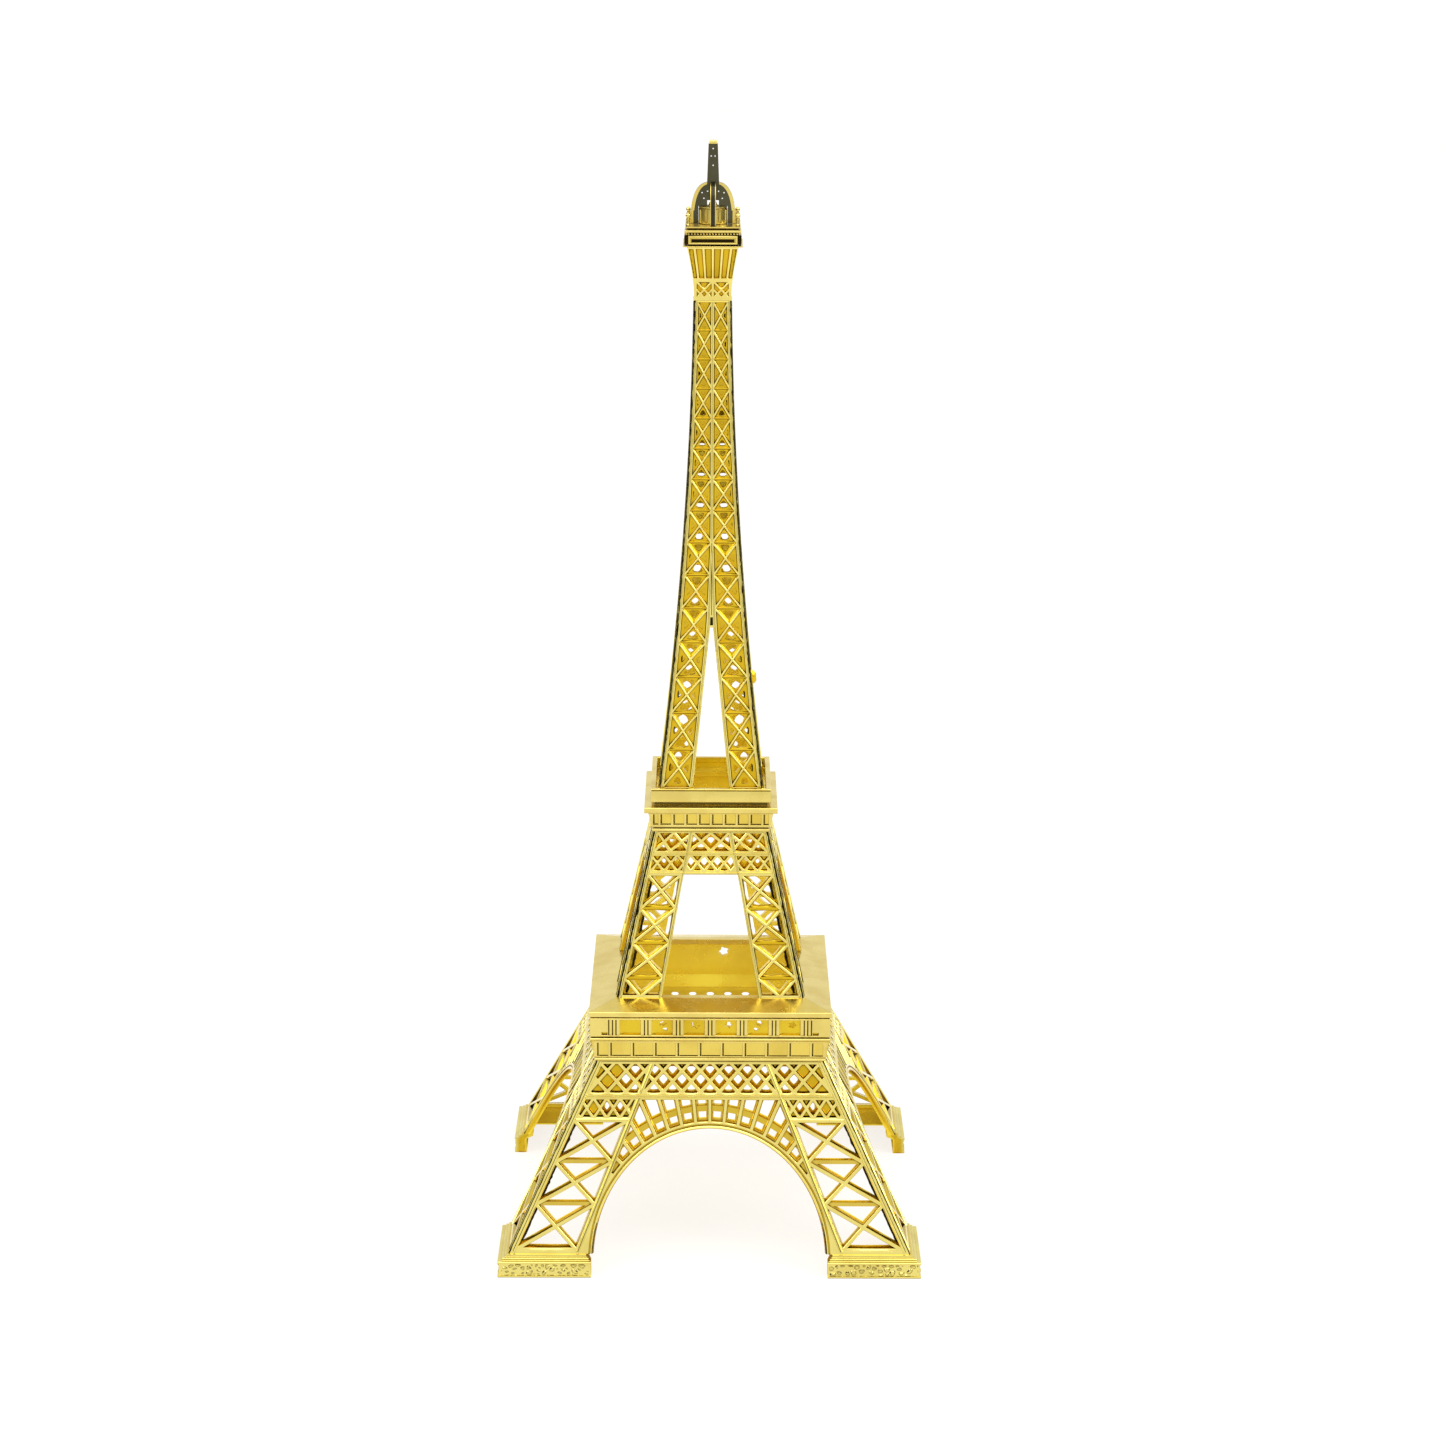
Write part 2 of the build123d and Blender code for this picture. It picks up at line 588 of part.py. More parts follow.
def spire_outline(with_mast):
    """Arch feet and domed shoulders of a spire plate, and the tapering mast if it has one."""
    crown_point = (MAST_BOTTOM_HALF, SPIRE_CROWN)
    if with_mast:
        crown = [
            Line(crown_point, (MAST_TOP_HALF, MAST_TOP)),
            Line((MAST_TOP_HALF, MAST_TOP), (0, MAST_TOP)),
            Line((0, MAST_TOP), (0, SPIRE_NOTCH_TOP)),
        ]
    else:
        crown = [Line(crown_point, (0, SPIRE_CROWN)), Line((0, SPIRE_CROWN), (0, SPIRE_NOTCH_TOP))]
    right = crown + [
        Line((SPIRE_FOOT_OUTER, LANTERN_FLOOR), (SPIRE_FOOT_OUTER, SPIRE_SPRING)),
        ThreePointArc((SPIRE_FOOT_OUTER, SPIRE_SPRING), SPIRE_SHOULDER, crown_point),
        Line((0, SPIRE_NOTCH_TOP), (SPIRE_NOTCH_HALF, SPIRE_NOTCH_TOP)),
        Line((SPIRE_NOTCH_HALF, SPIRE_NOTCH_TOP), (SPIRE_NOTCH_HALF, SPIRE_WEB)),
        Line((SPIRE_NOTCH_HALF, SPIRE_WEB), (SPIRE_FOOT_INNER, SPIRE_WEB)),
        Line((SPIRE_FOOT_INNER, SPIRE_WEB), (SPIRE_FOOT_INNER, LANTERN_FLOOR)),
        Line((SPIRE_FOOT_INNER, LANTERN_FLOOR), (SPIRE_FOOT_OUTER, LANTERN_FLOOR)),
    ]
    half = make_face(right)
    return half + mirror(half, about=Plane.YZ)


def perforations():
    holes = Sketch()
    for x, z in PERFORATIONS:
        holes += Pos(x, z) * Circle(PERFORATION_RADIUS)
    return holes


def spire_plate(elevation):
    return extrude(Plane.XZ * elevation, amount=SPIRE_THICKNESS / 2, both=True)


def spire_plates():
    """A plate with the mast, and a low plate that is halved into it crosswise under the mast."""
    reach = SPIRE_CROWN
    slot = Box(SPIRE_THICKNESS, SPIRE_THICKNESS, reach)
    slot_below = Pos(0, 0, HALVING_LEVEL - reach / 2) * slot
    slot_above = Pos(0, 0, HALVING_LEVEL + reach / 2) * slot
    front_plate = spire_plate(spire_outline(True) - perforations()) - slot_below
    side_plate = Rot(0, 0, 90) * spire_plate(spire_outline(False)) - slot_above
    return front_plate, side_plate


def mast_cap():
    """Small square cap on the mast top."""
    body = slab(CAP_HALF, MAST_TOP, TOTAL_HEIGHT)
    return chamfer(body.edges().group_by(Axis.Z)[-1], CAP_CHAMFER)


def corner_beads(outer_face, inner_offset, z0, z1):
    """Four square solder beads, each in an inner corner of a straight tier."""
    section = [
        (outer_face(z0) - inner_offset, z0), (outer_face(z1) - inner_offset, z1),
        (outer_face(z1) - inner_offset - BEAD, z1), (outer_face(z0) - inner_offset - BEAD, z0),
    ]
    strip = section_body(section)
    bead = strip & (Rot(0, 0, 90) * strip)
    return Compound([Rot(0, 0, 90 * turn) * bead for turn in range(4)])


def upper_beads():
    strip = upper_wall_section(UPPER_WALL, UPPER_WALL + UPPER_BEAD)
    bead = strip & (Rot(0, 0, 90) * strip)
    return Compound([Rot(0, 0, 90 * turn) * bead for turn in range(4)])


def main():
    os.makedirs("parts", exist_ok=True)
    four_sides("base_panel", base_side())
    four_sides("gallery", gallery_side())
    four_sides("middle_panel", middle_side())
    four_sides("platform", platform_side())
    four_sides("upper_panel", upper_side())
    write("top_bracket", top_bracket())
    write("top_platform", top_platform())
    write("lantern_drum", lantern_drum())
    write("lantern_finial", finial())
    write("lantern_corner_posts", corner_posts())
    front_plate, side_plate = spire_plates()
    write("spire_plate_front", front_plate)
    write("spire_plate_side", side_plate)
    write("mast_cap", mast_cap())
    write("base_solder", corner_beads(base_half, BASE_WALL, PEDESTAL_TOP, BASE_TOP))
    write("middle_solder", corner_beads(middle_half, MIDDLE_WALL, ROOF_RIDGE, MIDDLE_TOP))
    write("upper_solder", upper_beads())


main()
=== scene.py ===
"""Looks of a gold plated lattice tower souvenir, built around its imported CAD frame.

Every casting is built as one closed mesh from its front elevation: the outline of the
casting, and pockets that run back into it in rings, as the draft of a die casting does.
Sizes are in millimetres until a mesh is made.
"""
import json
import math
import bpy
import bmesh
from mathutils import Matrix, Vector, noise
from mathutils.geometry import delaunay_2d_cdt

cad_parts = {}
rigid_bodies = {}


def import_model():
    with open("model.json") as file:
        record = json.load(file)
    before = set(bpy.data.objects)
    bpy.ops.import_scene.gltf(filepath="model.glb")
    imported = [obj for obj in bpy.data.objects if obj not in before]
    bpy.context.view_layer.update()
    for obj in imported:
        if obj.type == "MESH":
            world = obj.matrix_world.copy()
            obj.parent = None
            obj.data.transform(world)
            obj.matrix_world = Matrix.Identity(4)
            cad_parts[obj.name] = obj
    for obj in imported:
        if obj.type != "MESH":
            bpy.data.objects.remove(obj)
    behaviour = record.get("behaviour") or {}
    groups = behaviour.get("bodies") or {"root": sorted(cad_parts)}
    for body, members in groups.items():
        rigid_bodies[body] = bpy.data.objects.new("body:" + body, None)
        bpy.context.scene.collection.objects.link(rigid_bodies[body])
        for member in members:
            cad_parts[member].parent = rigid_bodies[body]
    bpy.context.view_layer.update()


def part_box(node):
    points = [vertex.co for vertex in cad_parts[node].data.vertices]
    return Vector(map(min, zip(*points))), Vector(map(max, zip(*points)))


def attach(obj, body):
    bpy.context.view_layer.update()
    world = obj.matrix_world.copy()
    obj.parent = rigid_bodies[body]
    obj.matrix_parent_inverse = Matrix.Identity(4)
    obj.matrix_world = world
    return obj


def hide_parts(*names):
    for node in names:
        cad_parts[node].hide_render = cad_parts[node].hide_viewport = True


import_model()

MM = 0.001
SIDES = ("front", "right", "rear", "left")


def top_of(node):
    """Highest level of a CAD node, in millimetres."""
    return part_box(node)[1][2] / MM


def bottom_of(node):
    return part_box(node)[0][2] / MM


def half_of(node):
    """Greatest half width of a front node, in millimetres."""
    return -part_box(node)[0][1] / MM


# Levels and half widths of the tiers, from the frame where it holds them.
PEDESTAL_TOP = 6.3
PEDESTAL_INNER_END = 34.2
BASE_TOP = top_of("base_panel_front")
BASE_FOOT_HALF = 58.3
BASE_LEAN = 0.5004
BASE_WALL = 2.2
ROOF_RIDGE = top_of("gallery_front")
MIDDLE_TOP = top_of("middle_panel_front")
MIDDLE_FOOT_HALF = half_of("middle_panel_front")
MIDDLE_TOP_HALF = 16.83
MIDDLE_WALL = 2.4
DECK_TOP = bottom_of("upper_panel_front")
UPPER_TOP = top_of("upper_panel_front")
UPPER_FOOT_HALF = half_of("upper_panel_front")
UPPER_TOP_HALF = 5.35
UPPER_SAG = 2.0
UPPER_WALL = 1.7
BRACKET_TOP = top_of("top_bracket")
LANTERN_FLOOR = top_of("top_platform")
MAST_TOP = bottom_of("mast_cap")
TOWER_TOP = top_of("mast_cap")

# Tones of a surface, as (depth in millimetres whose recess tint it takes, share of near-black painted shade).
# The recess tint is painted shade on recess floors and painted light deep inside; the near-black share paints
# the shade in grooves, slots and along edges.
PLAIN = (0.0, 0.0)
DEEP = (1.6, 0.0)
# LINE paints a dark line of shade; the last tone paints full near-black shade.
LINE = (0.0, 0.75)
FULL_PAINTED_SHADE = (0.0, 1.0)

ARCH_CENTRE = 4.9
BEVEL = 0.12
SEAM_CLEARANCE = 0.02
SEAM_STEP = 0.7
RIDGE_STEP = 6.0
SHARP_ANGLE = 30

# Inner chords of the lower tiers, as (half width, level, lean).
BASE_CHORD = (38.3, 7.0, 0.441)
MIDDLE_CHORD = (14.2, ROOF_RIDGE, 0.1787)

# The two legs of an upper side meet at the merge, and their chords at the chord merge.
UPPER_MERGE = 181.0
CHORD_MERGE = 206.0


def base_half(z):
    return BASE_FOOT_HALF - BASE_LEAN * (z - PEDESTAL_TOP)


def base_chord(z):
    """Distance of the base leg's inner chord from the centre line."""
    half, level, lean = BASE_CHORD
    return half - lean * (z - level)


def middle_half(z):
    lean = (MIDDLE_FOOT_HALF - MIDDLE_TOP_HALF) / (MIDDLE_TOP - ROOF_RIDGE)
    return MIDDLE_FOOT_HALF - lean * (z - ROOF_RIDGE)


def middle_chord(z):
    half, level, lean = MIDDLE_CHORD
    return half - lean * (z - level)


def upper_half(z):
    t = (z - DECK_TOP) / (UPPER_TOP - DECK_TOP)
    return UPPER_FOOT_HALF + (UPPER_TOP_HALF - UPPER_FOOT_HALF) * t - 4 * UPPER_SAG * t * (1 - t)


def upper_node(n):
    """Height of the n-th lattice node of the upper tier."""
    return 134.2 + 11.2 * n - 0.157 * n**2 + 0.0024 * n**3


def gap_half(z):
    """Half width of the gap between the two legs of one upper side."""
    return 0.45 + 0.103 * (UPPER_MERGE - z)


# ---------------------------------------------------------------- flat geometry


def cross2(a, b):
    return a[0] * b[1] - a[1] * b[0]


def area(cell):
    return sum(cross2(cell[k - 1], cell[k]) for k in range(len(cell))) / 2


def clip(cell, start, end, gap=0.0):
    """The part of a convex cell that lies at least gap to the left of the line start-end."""
    along = (Vector(end) - Vector(start)).normalized()
    kept = []
    for k, point in enumerate(cell):
        before = cell[k - 1]
        side = cross2(along, Vector(point) - Vector(start)) - gap
        side_before = cross2(along, Vector(before) - Vector(start)) - gap
        if side * side_before < 0:
            kept.append(tuple(Vector(before).lerp(Vector(point), side_before / (side_before - side))))
        if side >= 0:
            kept.append(tuple(point))
    return kept if len(kept) > 2 and area(kept) > 0.02 else []


def above(cell, z):
    return clip(cell, (-100, z), (100, z))


def below(cell, z):
    return clip(cell, (100, z), (-100, z))


def split_by_bars(region, lines, half_bar):
    """The convex cells left in a region by straight bars along the given lines."""
    cells = [region]
    for start, end in lines:
        parts = []
        for cell in cells:
            parts += [clip(cell, start, end, half_bar), clip(cell, end, start, half_bar)]
        cells = [part for part in parts if part]
    return cells


def incircle(cell):
    """Centre of a cell and its least distance to an edge."""
    points = [Vector(point) for point in cell]
    count = len(points)
    centre = Vector((0, 0))
    if count == 3:
        weights = [(points[(k + 1) % 3] - points[(k + 2) % 3]).length for k in range(3)]
        for point, weight in zip(points, weights):
            centre += point * weight / sum(weights)
    else:
        for k in range(count):
            centre += (points[k - 1] + points[k]) * cross2(points[k - 1], points[k])
        centre /= 6 * area(cell)
    radius = min(
        cross2((points[k] - points[k - 1]).normalized(), centre - points[k - 1]) for k in range(count)
    )
    return centre, radius


def at_mitre(cell, half, wall):
    """Whether a cell lies so far out that the mitre leaves it no room at the back."""
    centre, _ = incircle(cell)
    return abs(centre.x) > half(centre.y) - wall - 0.9


def usable(cell, least=0.3):
    return bool(cell) and incircle(cell)[1] > least


def rim(cell, inset, roundness=0.0, steps=3):
    """A cell's outline, moved in by inset and eased towards its inscribed circle."""
    centre, radius = incircle(cell)
    scale = max(1 - inset / radius, 0.12)
    if len(cell) == 4 and 0 < inset < radius and roundness == 0:
        moved = parallel_inset(cell, inset)
        if moved:
            cell = moved
            scale = 1.0
    points = []
    for k in range(len(cell)):
        a = Vector(cell[k - 1])
        b = Vector(cell[k])
        for step in range(steps):
            arm = a.lerp(b, step / steps) - centre
            eased = (arm * scale).lerp(arm.normalized() * radius * scale, roundness)
            points.append(tuple(centre + eased))
    return points


def parallel_inset(cell, inset):
    """Four-sided cell with each edge moved in by the same distance, if all four edges last."""
    sides = []
    for k in range(4):
        a, b = Vector(cell[k - 1]), Vector(cell[k])
        along = (b - a).normalized()
        sides.append((a + Vector((-along.y, along.x)) * inset, along))
    corners = []
    for k in range(4):
        (p, u), (q, v) = sides[k], sides[(k + 1) % 4]
        corners.append(tuple(p + u * (cross2(q - p, v) / cross2(u, v))))
    lasting = [(Vector(corners[k]) - Vector(corners[k - 1])).dot(sides[k][1]) > 0.02 for k in range(4)]
    return corners if all(lasting) else None


def mirrored(cell):
    return [(-x, z) for x, z in reversed(cell)]


def both(cells):
    return cells + [mirrored(cell) for cell in cells]


def box_cell(x0, z0, x1, z1):
    return [(x0, z0), (x1, z0), (x1, z1), (x0, z1)]


def between(inner, outer, z0, z1):
    """The cell between two edges, each given as a distance from the centre line."""
    return [(inner(z0), z0), (outer(z0), z0), (outer(z1), z1), (inner(z1), z1)]


def across(edge, z0, z1):
    return between(lambda z: -edge(z), edge, z0, z1)


def angles_round(count):
    """Angles evenly spaced round a circle."""
    return [2 * math.pi * k / count for k in range(count)]


def quarter_turn(turn):
    return Matrix.Rotation(math.pi / 2 * turn, 3, "Z")


# ---------------------------------------------------------------- closed meshes


class Solid:
    """Collects the faces of closed shells; points that coincide become one vertex."""

    def __init__(self):
        self.bm = bmesh.new()
        self.known = {}
        self.tone = PLAIN
        self.recess = self.bm.verts.layers.float.new("recess")
        # Share of near-black painted shade at each point, for grooves, slots and edges in shade.
        self.painted_shade = self.bm.verts.layers.float.new("painted_shade")

    def vert(self, point, recess=0.0):
        key = (round(point[0], 3), round(point[1], 3), round(point[2], 3))
        if key not in self.known:
            vertex = self.bm.verts.new(point)
            vertex[self.recess] = recess + self.tone[0]
            vertex[self.painted_shade] = self.tone[1]
            self.known[key] = vertex
        return self.known[key]

    def face(self, verts, material=0):
        ring = [v for k, v in enumerate(verts) if v is not verts[k - 1]]
        if len(set(ring)) > 2 and len(set(ring)) == len(ring) and self.bm.faces.get(ring) is None:
            self.bm.faces.new(ring).material_index = material

    def wall(self, place, ring_a, ring_b, material=0):
        """Quads between two rings of (x, z, depth) with the same number of points."""
        a = [self.vert(place(*point), point[2]) for point in ring_a]
        b = [self.vert(place(*point), point[2]) for point in ring_b]
        for k in range(len(a)):
            self.face([a[k - 1], a[k], b[k], b[k - 1]], material)

    def cap(self, place, outline, holes, depth, material=0):
        """Triangulates an outline less its holes, at one depth."""
        points = []
        loops = []
        for loop in [outline] + holes:
            first = len(points)
            points += loop
            numbers = list(range(first, len(points)))
            loops.append(numbers if area(loop) > 0 else numbers[::-1])
        vectors = [Vector(point) for point in points]
        flat, _, faces, sources, _, owners = delaunay_2d_cdt(vectors, [], loops, 1, 1e-5)
        verts = []
        for moved, source in zip(flat, sources):
            x, z = points[source[0]] if source else moved
            verts.append(self.vert(place(x, z, depth), depth))
        for face, owner in zip(faces, owners):
            if owner == [0]:
                self.face([verts[k] for k in face], material)

    def pocket(self, place, pocket, within):
        """Walls and floor of one pocket; returns the holes that it leaves in the back.

        A pocket's tone colours all of it below its mouth, and its line the second ring.
        """
        rings = [(within(ring, depth), depth) for ring, depth in pocket["rings"]]
        around = self.tone
        self.tone = pocket.get("line", pocket.get("tone", around))
        for (ring_a, depth_a), (ring_b, depth_b) in zip(rings, rings[1:]):
            self.wall(place, at_depth(ring_a, depth_a), at_depth(ring_b, depth_b))
            self.tone = pocket.get("tone", around)
        last_ring, last_depth = rings[-1]
        if pocket["through"]:
            self.tone = around
            return [last_ring]
        children = pocket["children"]
        mouths = [within(child["rings"][0][0], last_depth) for child in children]
        self.cap(place, last_ring, mouths, last_depth)
        self.tone = around
        holes = []
        for child in children:
            holes += self.pocket(place, child, within)
        return holes

    def casting(self, place, outline_rings, pockets, within):
        """A plate between the first and the last of its outline rings, with pockets."""
        front = outline_rings[0]
        self.cap(place, flat_ring(front), [pocket["rings"][0][0] for pocket in pockets], front[0][2])
        for ring_a, ring_b in zip(outline_rings, outline_rings[1:]):
            self.wall(place, ring_a, ring_b)
        holes = []
        for pocket in pockets:
            holes += self.pocket(place, pocket, within)
        back = outline_rings[-1]
        self.cap(place, flat_ring(back), holes, back[0][2])

    def tube(self, rings, recess=0.0):
        """A closed shell through rings of points, with flat ends."""
        made = []
        for ring in rings:
            verts = [self.bm.verts.new(point) for point in ring]
            for vertex in verts:
                vertex[self.recess] = recess
            made.append(verts)
        for low, high in zip(made, made[1:]):
            for k in range(len(low)):
                self.face([low[k - 1], low[k], high[k], high[k - 1]])
        self.face(made[0][::-1])
        self.face(made[-1])

    def ridge(self, place, start, end, width, proud=0.22):
        """A raised moulding along a line, sunk a little into the face it stands on."""
        a, b = Vector(start), Vector(end)
        along = (b - a).normalized()
        across = Vector((-along.y, along.x))
        taper = min(0.16, width / 4)
        section = (
            (-width / 2, 0.25), (-width / 2, 0.0), (taper - width / 2, -proud),
            (width / 2 - taper, -proud), (width / 2, 0.0), (width / 2, 0.25),
        )
        count = max(1, round((b - a).length / RIDGE_STEP))
        rings = []
        for k in range(count + 1):
            centre = a.lerp(b, k / count)
            rings.append([place(*(centre + across * offset), depth) for offset, depth in section])
        self.tube(rings)

    def join(self, other):
        """Takes in another closed shell without welding it to this one."""
        copies = {}
        for vertex in other.bm.verts:
            copy = self.bm.verts.new(vertex.co)
            copy[self.recess] = vertex[other.recess]
            copy[self.painted_shade] = vertex[other.painted_shade]
            copies[vertex] = copy
        for face in other.bm.faces:
            self.bm.faces.new([copies[v] for v in face.verts]).material_index = face.material_index
        other.bm.free()

    def piece(self, name, materials, turn=0):
        """Makes the mesh object, turned about the tower's axis by quarter turns."""
        bmesh.ops.recalc_face_normals(self.bm, faces=self.bm.faces)
        matrix = Matrix.Rotation(math.pi / 2 * turn, 4, "Z") @ Matrix.Scale(MM, 4)
        bmesh.ops.transform(self.bm, matrix=matrix, verts=self.bm.verts)
        mesh = bpy.data.meshes.new(name)
        self.bm.to_mesh(mesh)
        self.bm.free()
        mesh.shade_smooth()
        mesh.set_sharp_from_angle(angle=math.radians(SHARP_ANGLE))
        for material in materials:
            mesh.materials.append(material)
        thing = bpy.data.objects.new(name, mesh)
        bpy.context.collection.objects.link(thing)
        return thing


def at_depth(ring, depth):
    return [(x, z, depth) for x, z in ring]


def flat_ring(ring):
    return [(x, z) for x, z, _ in ring]


def leaning(half):
    """Places a point of the elevation at a depth behind a leaning or curved face."""
    return lambda x, z, depth: Vector((x, depth - half(z), z))


def short_of_mitre(half):
    """Keeps a pocket's rings inside the mitres as they run back."""
    def within(ring, depth):
        kept = []
        for x, z in ring:
            limit = half(z) - depth - 0.35
            kept.append((max(-limit, min(limit, x)), z))
        return kept
    return within


def unbounded(ring, depth):
    return ring


def through_pocket(cell, wall, inset, roundness=0.0, edge=0.1, waist=None):
    """A hole right through, with an eased front edge and drafted sides."""
    rings = [(rim(cell, 0), 0.0), (rim(cell, edge), edge)]
    if waist:
        waist_inset, waist_depth = waist
        rings.append((rim(cell, waist_inset, roundness / 2), waist_depth))
    rings.append((rim(cell, inset, roundness), wall))
    return {"rings": rings, "through": True, "children": []}


def blind_pocket(cell, depth, inset, edge=0.08, children=()):
    """A recess with an eased front edge, drafted sides and a floor."""
    rings = [(rim(cell, 0), 0.0), (rim(cell, edge), edge), (rim(cell, inset), depth)]
    return {"rings": rings, "through": False, "children": list(children)}


def sunk_hole(cell, floor, wall, inset, roundness=0.0):
    """A drafted hole that starts on a sunk floor."""
    rings = [(rim(cell, 0), floor), (rim(cell, inset, roundness), wall)]
    return {"rings": rings, "through": True, "children": []}


def floored_cell(cell, start, floor, share, roundness, end, opens=True):
    """Steep sides, a flat floor, and a rounded hole or dimple in the floor.

    share is the size of the hole against the cell's inscribed circle.
    """
    radius = incircle(cell)[1]
    step = min(0.12, radius * 0.2)
    rings = [
        (rim(cell, 0), start), (rim(cell, step), start + step), (rim(cell, 2 * step), floor),
        (rim(cell, radius * (1 - share), roundness), floor + 0.03),
        (rim(cell, radius * (1.02 - share), roundness), end),
    ]
    # The second ring takes a painted dark line of shade along the cell's edge.
    return {"rings": rings, "through": opens, "children": [], "line": (0.3, 0.9)}


def sunk_recess(cell, floor, depth, inset):
    hole = sunk_hole(cell, floor, depth, inset)
    hole["through"] = False
    return hole


def groove(x0, z0, x1, z1, floor, depth):
    """A groove sunk into the floor of a panel, painted dark as the shade in it."""
    cut = sunk_recess(box_cell(x0, z0, x1, z1), floor, depth, 0.05)
    cut["tone"] = LINE
    return cut


def ragged(z, seed, amount):
    """Uneven edge of a soldered corner, with a few nicks."""
    wave = noise.noise(Vector((z * 0.9, seed * 7.3, 1.7)))
    fine = noise.noise(Vector((z * 2.7, seed * 3.1, 9.2)))
    nick = max(0.0, noise.noise(Vector((z * 0.35, seed * 11.9, 4.4))) - 0.25)
    return amount * (1 + 0.45 * wave + 0.35 * fine + 1.6 * nick)


def levels(low, high, step):
    count = max(1, round((high - low) / step))
    return [low + (high - low) * k / count for k in range(count + 1)]


def mitred_rings(half, low, high, seam, seed, step, depths, inner):
    """Outline rings of a plate between two ragged mitres.

    depths are the levels at which the outer edge is cut; inner gives the matching ring of
    the edge between the feet, from the left foot to the right foot, as (x, z, depth).
    """
    wall = depths[-1]
    rings = []
    for k, depth in enumerate(depths):
        fade = 1 - depth / wall
        ease = BEVEL if k == 0 else 0.0
        right = []
        left = []
        for z in levels(low, high, step):
            edge = half(z) - depth - SEAM_CLEARANCE - ease
            right.append((edge - ragged(z, seed, seam) * fade, z, depth))
            left.append((ragged(z, seed + 50, seam) * fade - edge, z, depth))
        rings.append(right + left[::-1] + inner(k))
    return rings


# ---------------------------------------------------------------- lattice patterns


def crossed_bays(nodes, inner, outer, reach, bar_half, low_edge, high_edge):
    """Front-level cells of a crossed leg: side triangles, end triangles and the diamonds
    about each strut. inner and outer are the facing edges of the two chords, and the bars
    aim for points that lie reach beyond them."""
    def left(n):
        return (inner(nodes[n]) - reach, nodes[n])

    def right(n):
        return (outer(nodes[n]) + reach, nodes[n])

    def over(cell, n):
        return clip(clip(cell, left(n), right(n + 1), bar_half), left(n + 1), right(n), bar_half)

    def under(cell, n):
        return clip(clip(cell, right(n + 1), left(n), bar_half), right(n), left(n + 1), bar_half)

    sides = []
    diamonds = []
    last = len(nodes) - 2
    for n in range(last + 1):
        bay = above(below(between(inner, outer, nodes[n], nodes[n + 1]), high_edge), low_edge)
        toward_axis = clip(clip(bay, left(n), right(n + 1), bar_half), right(n), left(n + 1), bar_half)
        away = clip(clip(bay, right(n + 1), left(n), bar_half), left(n + 1), right(n), bar_half)
        sides += [cell for cell in (toward_axis, away) if usable(cell)]
        if n < last:
            two_bays = above(between(inner, outer, nodes[n], nodes[n + 2]), low_edge)
            diamonds.append((under(over(two_bays, n), n + 1), nodes[n + 1]))
    bottom = under(above(between(inner, outer, nodes[0], nodes[1]), low_edge), 0)
    top = over(below(between(inner, outer, nodes[last], nodes[-1]), high_edge), last)
    ends = [cell for cell in (bottom, top) if usable(cell)]
    return sides, diamonds, ends


def strut_halves(cell, level, strut, ledge=0.42):
    """The two mouths that a sunk strut leaves on a diamond's floor."""
    sunk = rim(cell, ledge, steps=1)
    halves = [above(sunk, level + strut), below(sunk, level - strut)]
    return [half for half in halves if usable(half, 0.12)]


def split_by_chords(cells, chord, z0, z1):
    """Cells cut by the inner chord of each leg."""
    for side in (-1, 1):
        line = [((side * chord(z0), z0), (side * chord(z1), z1))]
        cells = [part for cell in cells for part in split_by_bars(cell, line, 0.6)]
    return cells


def band_lines(centres, pitch, z0, z1):
    """Pairs of lines that cross at mid height above each centre."""
    lines = []
    for x in centres:
        lines.append(((x - pitch / 2, z0), (x + pitch / 2, z1)))
        lines.append(((x + pitch / 2, z0), (x - pitch / 2, z1)))
    return lines


# ---------------------------------------------------------------- base tier


def base_pockets():
    leg_nodes = (7.2, 18.9, 29.8, 40.6)
    sides, diamonds, ends = crossed_bays(
        leg_nodes, lambda z: base_chord(z) + 0.65, lambda z: base_half(z) - 2.0, 0.3, 0.38, 7.7, 40.3)
    pockets = [through_pocket(cell, BASE_WALL, 0.3, 0.05) for cell in both(sides + ends)]
    for cell, level in diamonds:
        for own in (cell, mirrored(cell)):
            mouths = [sunk_hole(half, 0.8, BASE_WALL, 0.12) for half in strut_halves(own, level, 0.5, 0.32)]
            pockets.append(blind_pocket(own, 0.8, 0.22, edge=0.1, children=mouths))
    pockets += base_narrow_band() + base_main_band() + arch_pockets()
    # Each pocket's edge ring gets a painted dark line of shade along the bars; its walls keep the front
    # colour with a little painted shade.
    for pocket in pockets:
        pocket["line"] = (0.0, 0.38)
        pocket["tone"] = (-0.5, 0.06)
    return pockets


def base_narrow_band():
    """A row of small crosses over each leg; the outermost cells are blind."""
    z0, z1 = 41.5, 46.2
    pitch = 3.85
    region = between(lambda z: base_chord(z) + 0.75, lambda z: base_half(z) - 2.1, z0, z1)
    lines = band_lines([24.3 + pitch * k for k in range(6)], pitch, z0 - 0.3, z1 + 0.3)
    pockets = []
    for cell in split_by_bars(region, lines, 0.32):
        if usable(cell, 0.32):
            centre, radius = incircle(cell)
            for own in (cell, mirrored(cell)):
                if centre.x < 32.6 and radius > 0.75 and not at_mitre(own, base_half, BASE_WALL):
                    pockets.append(through_pocket(own, BASE_WALL, 0.55, 0.35, waist=(0.3, 1.2)))
                else:
                    pockets.append(blind_pocket(own, 1.1, 0.28))
    return pockets


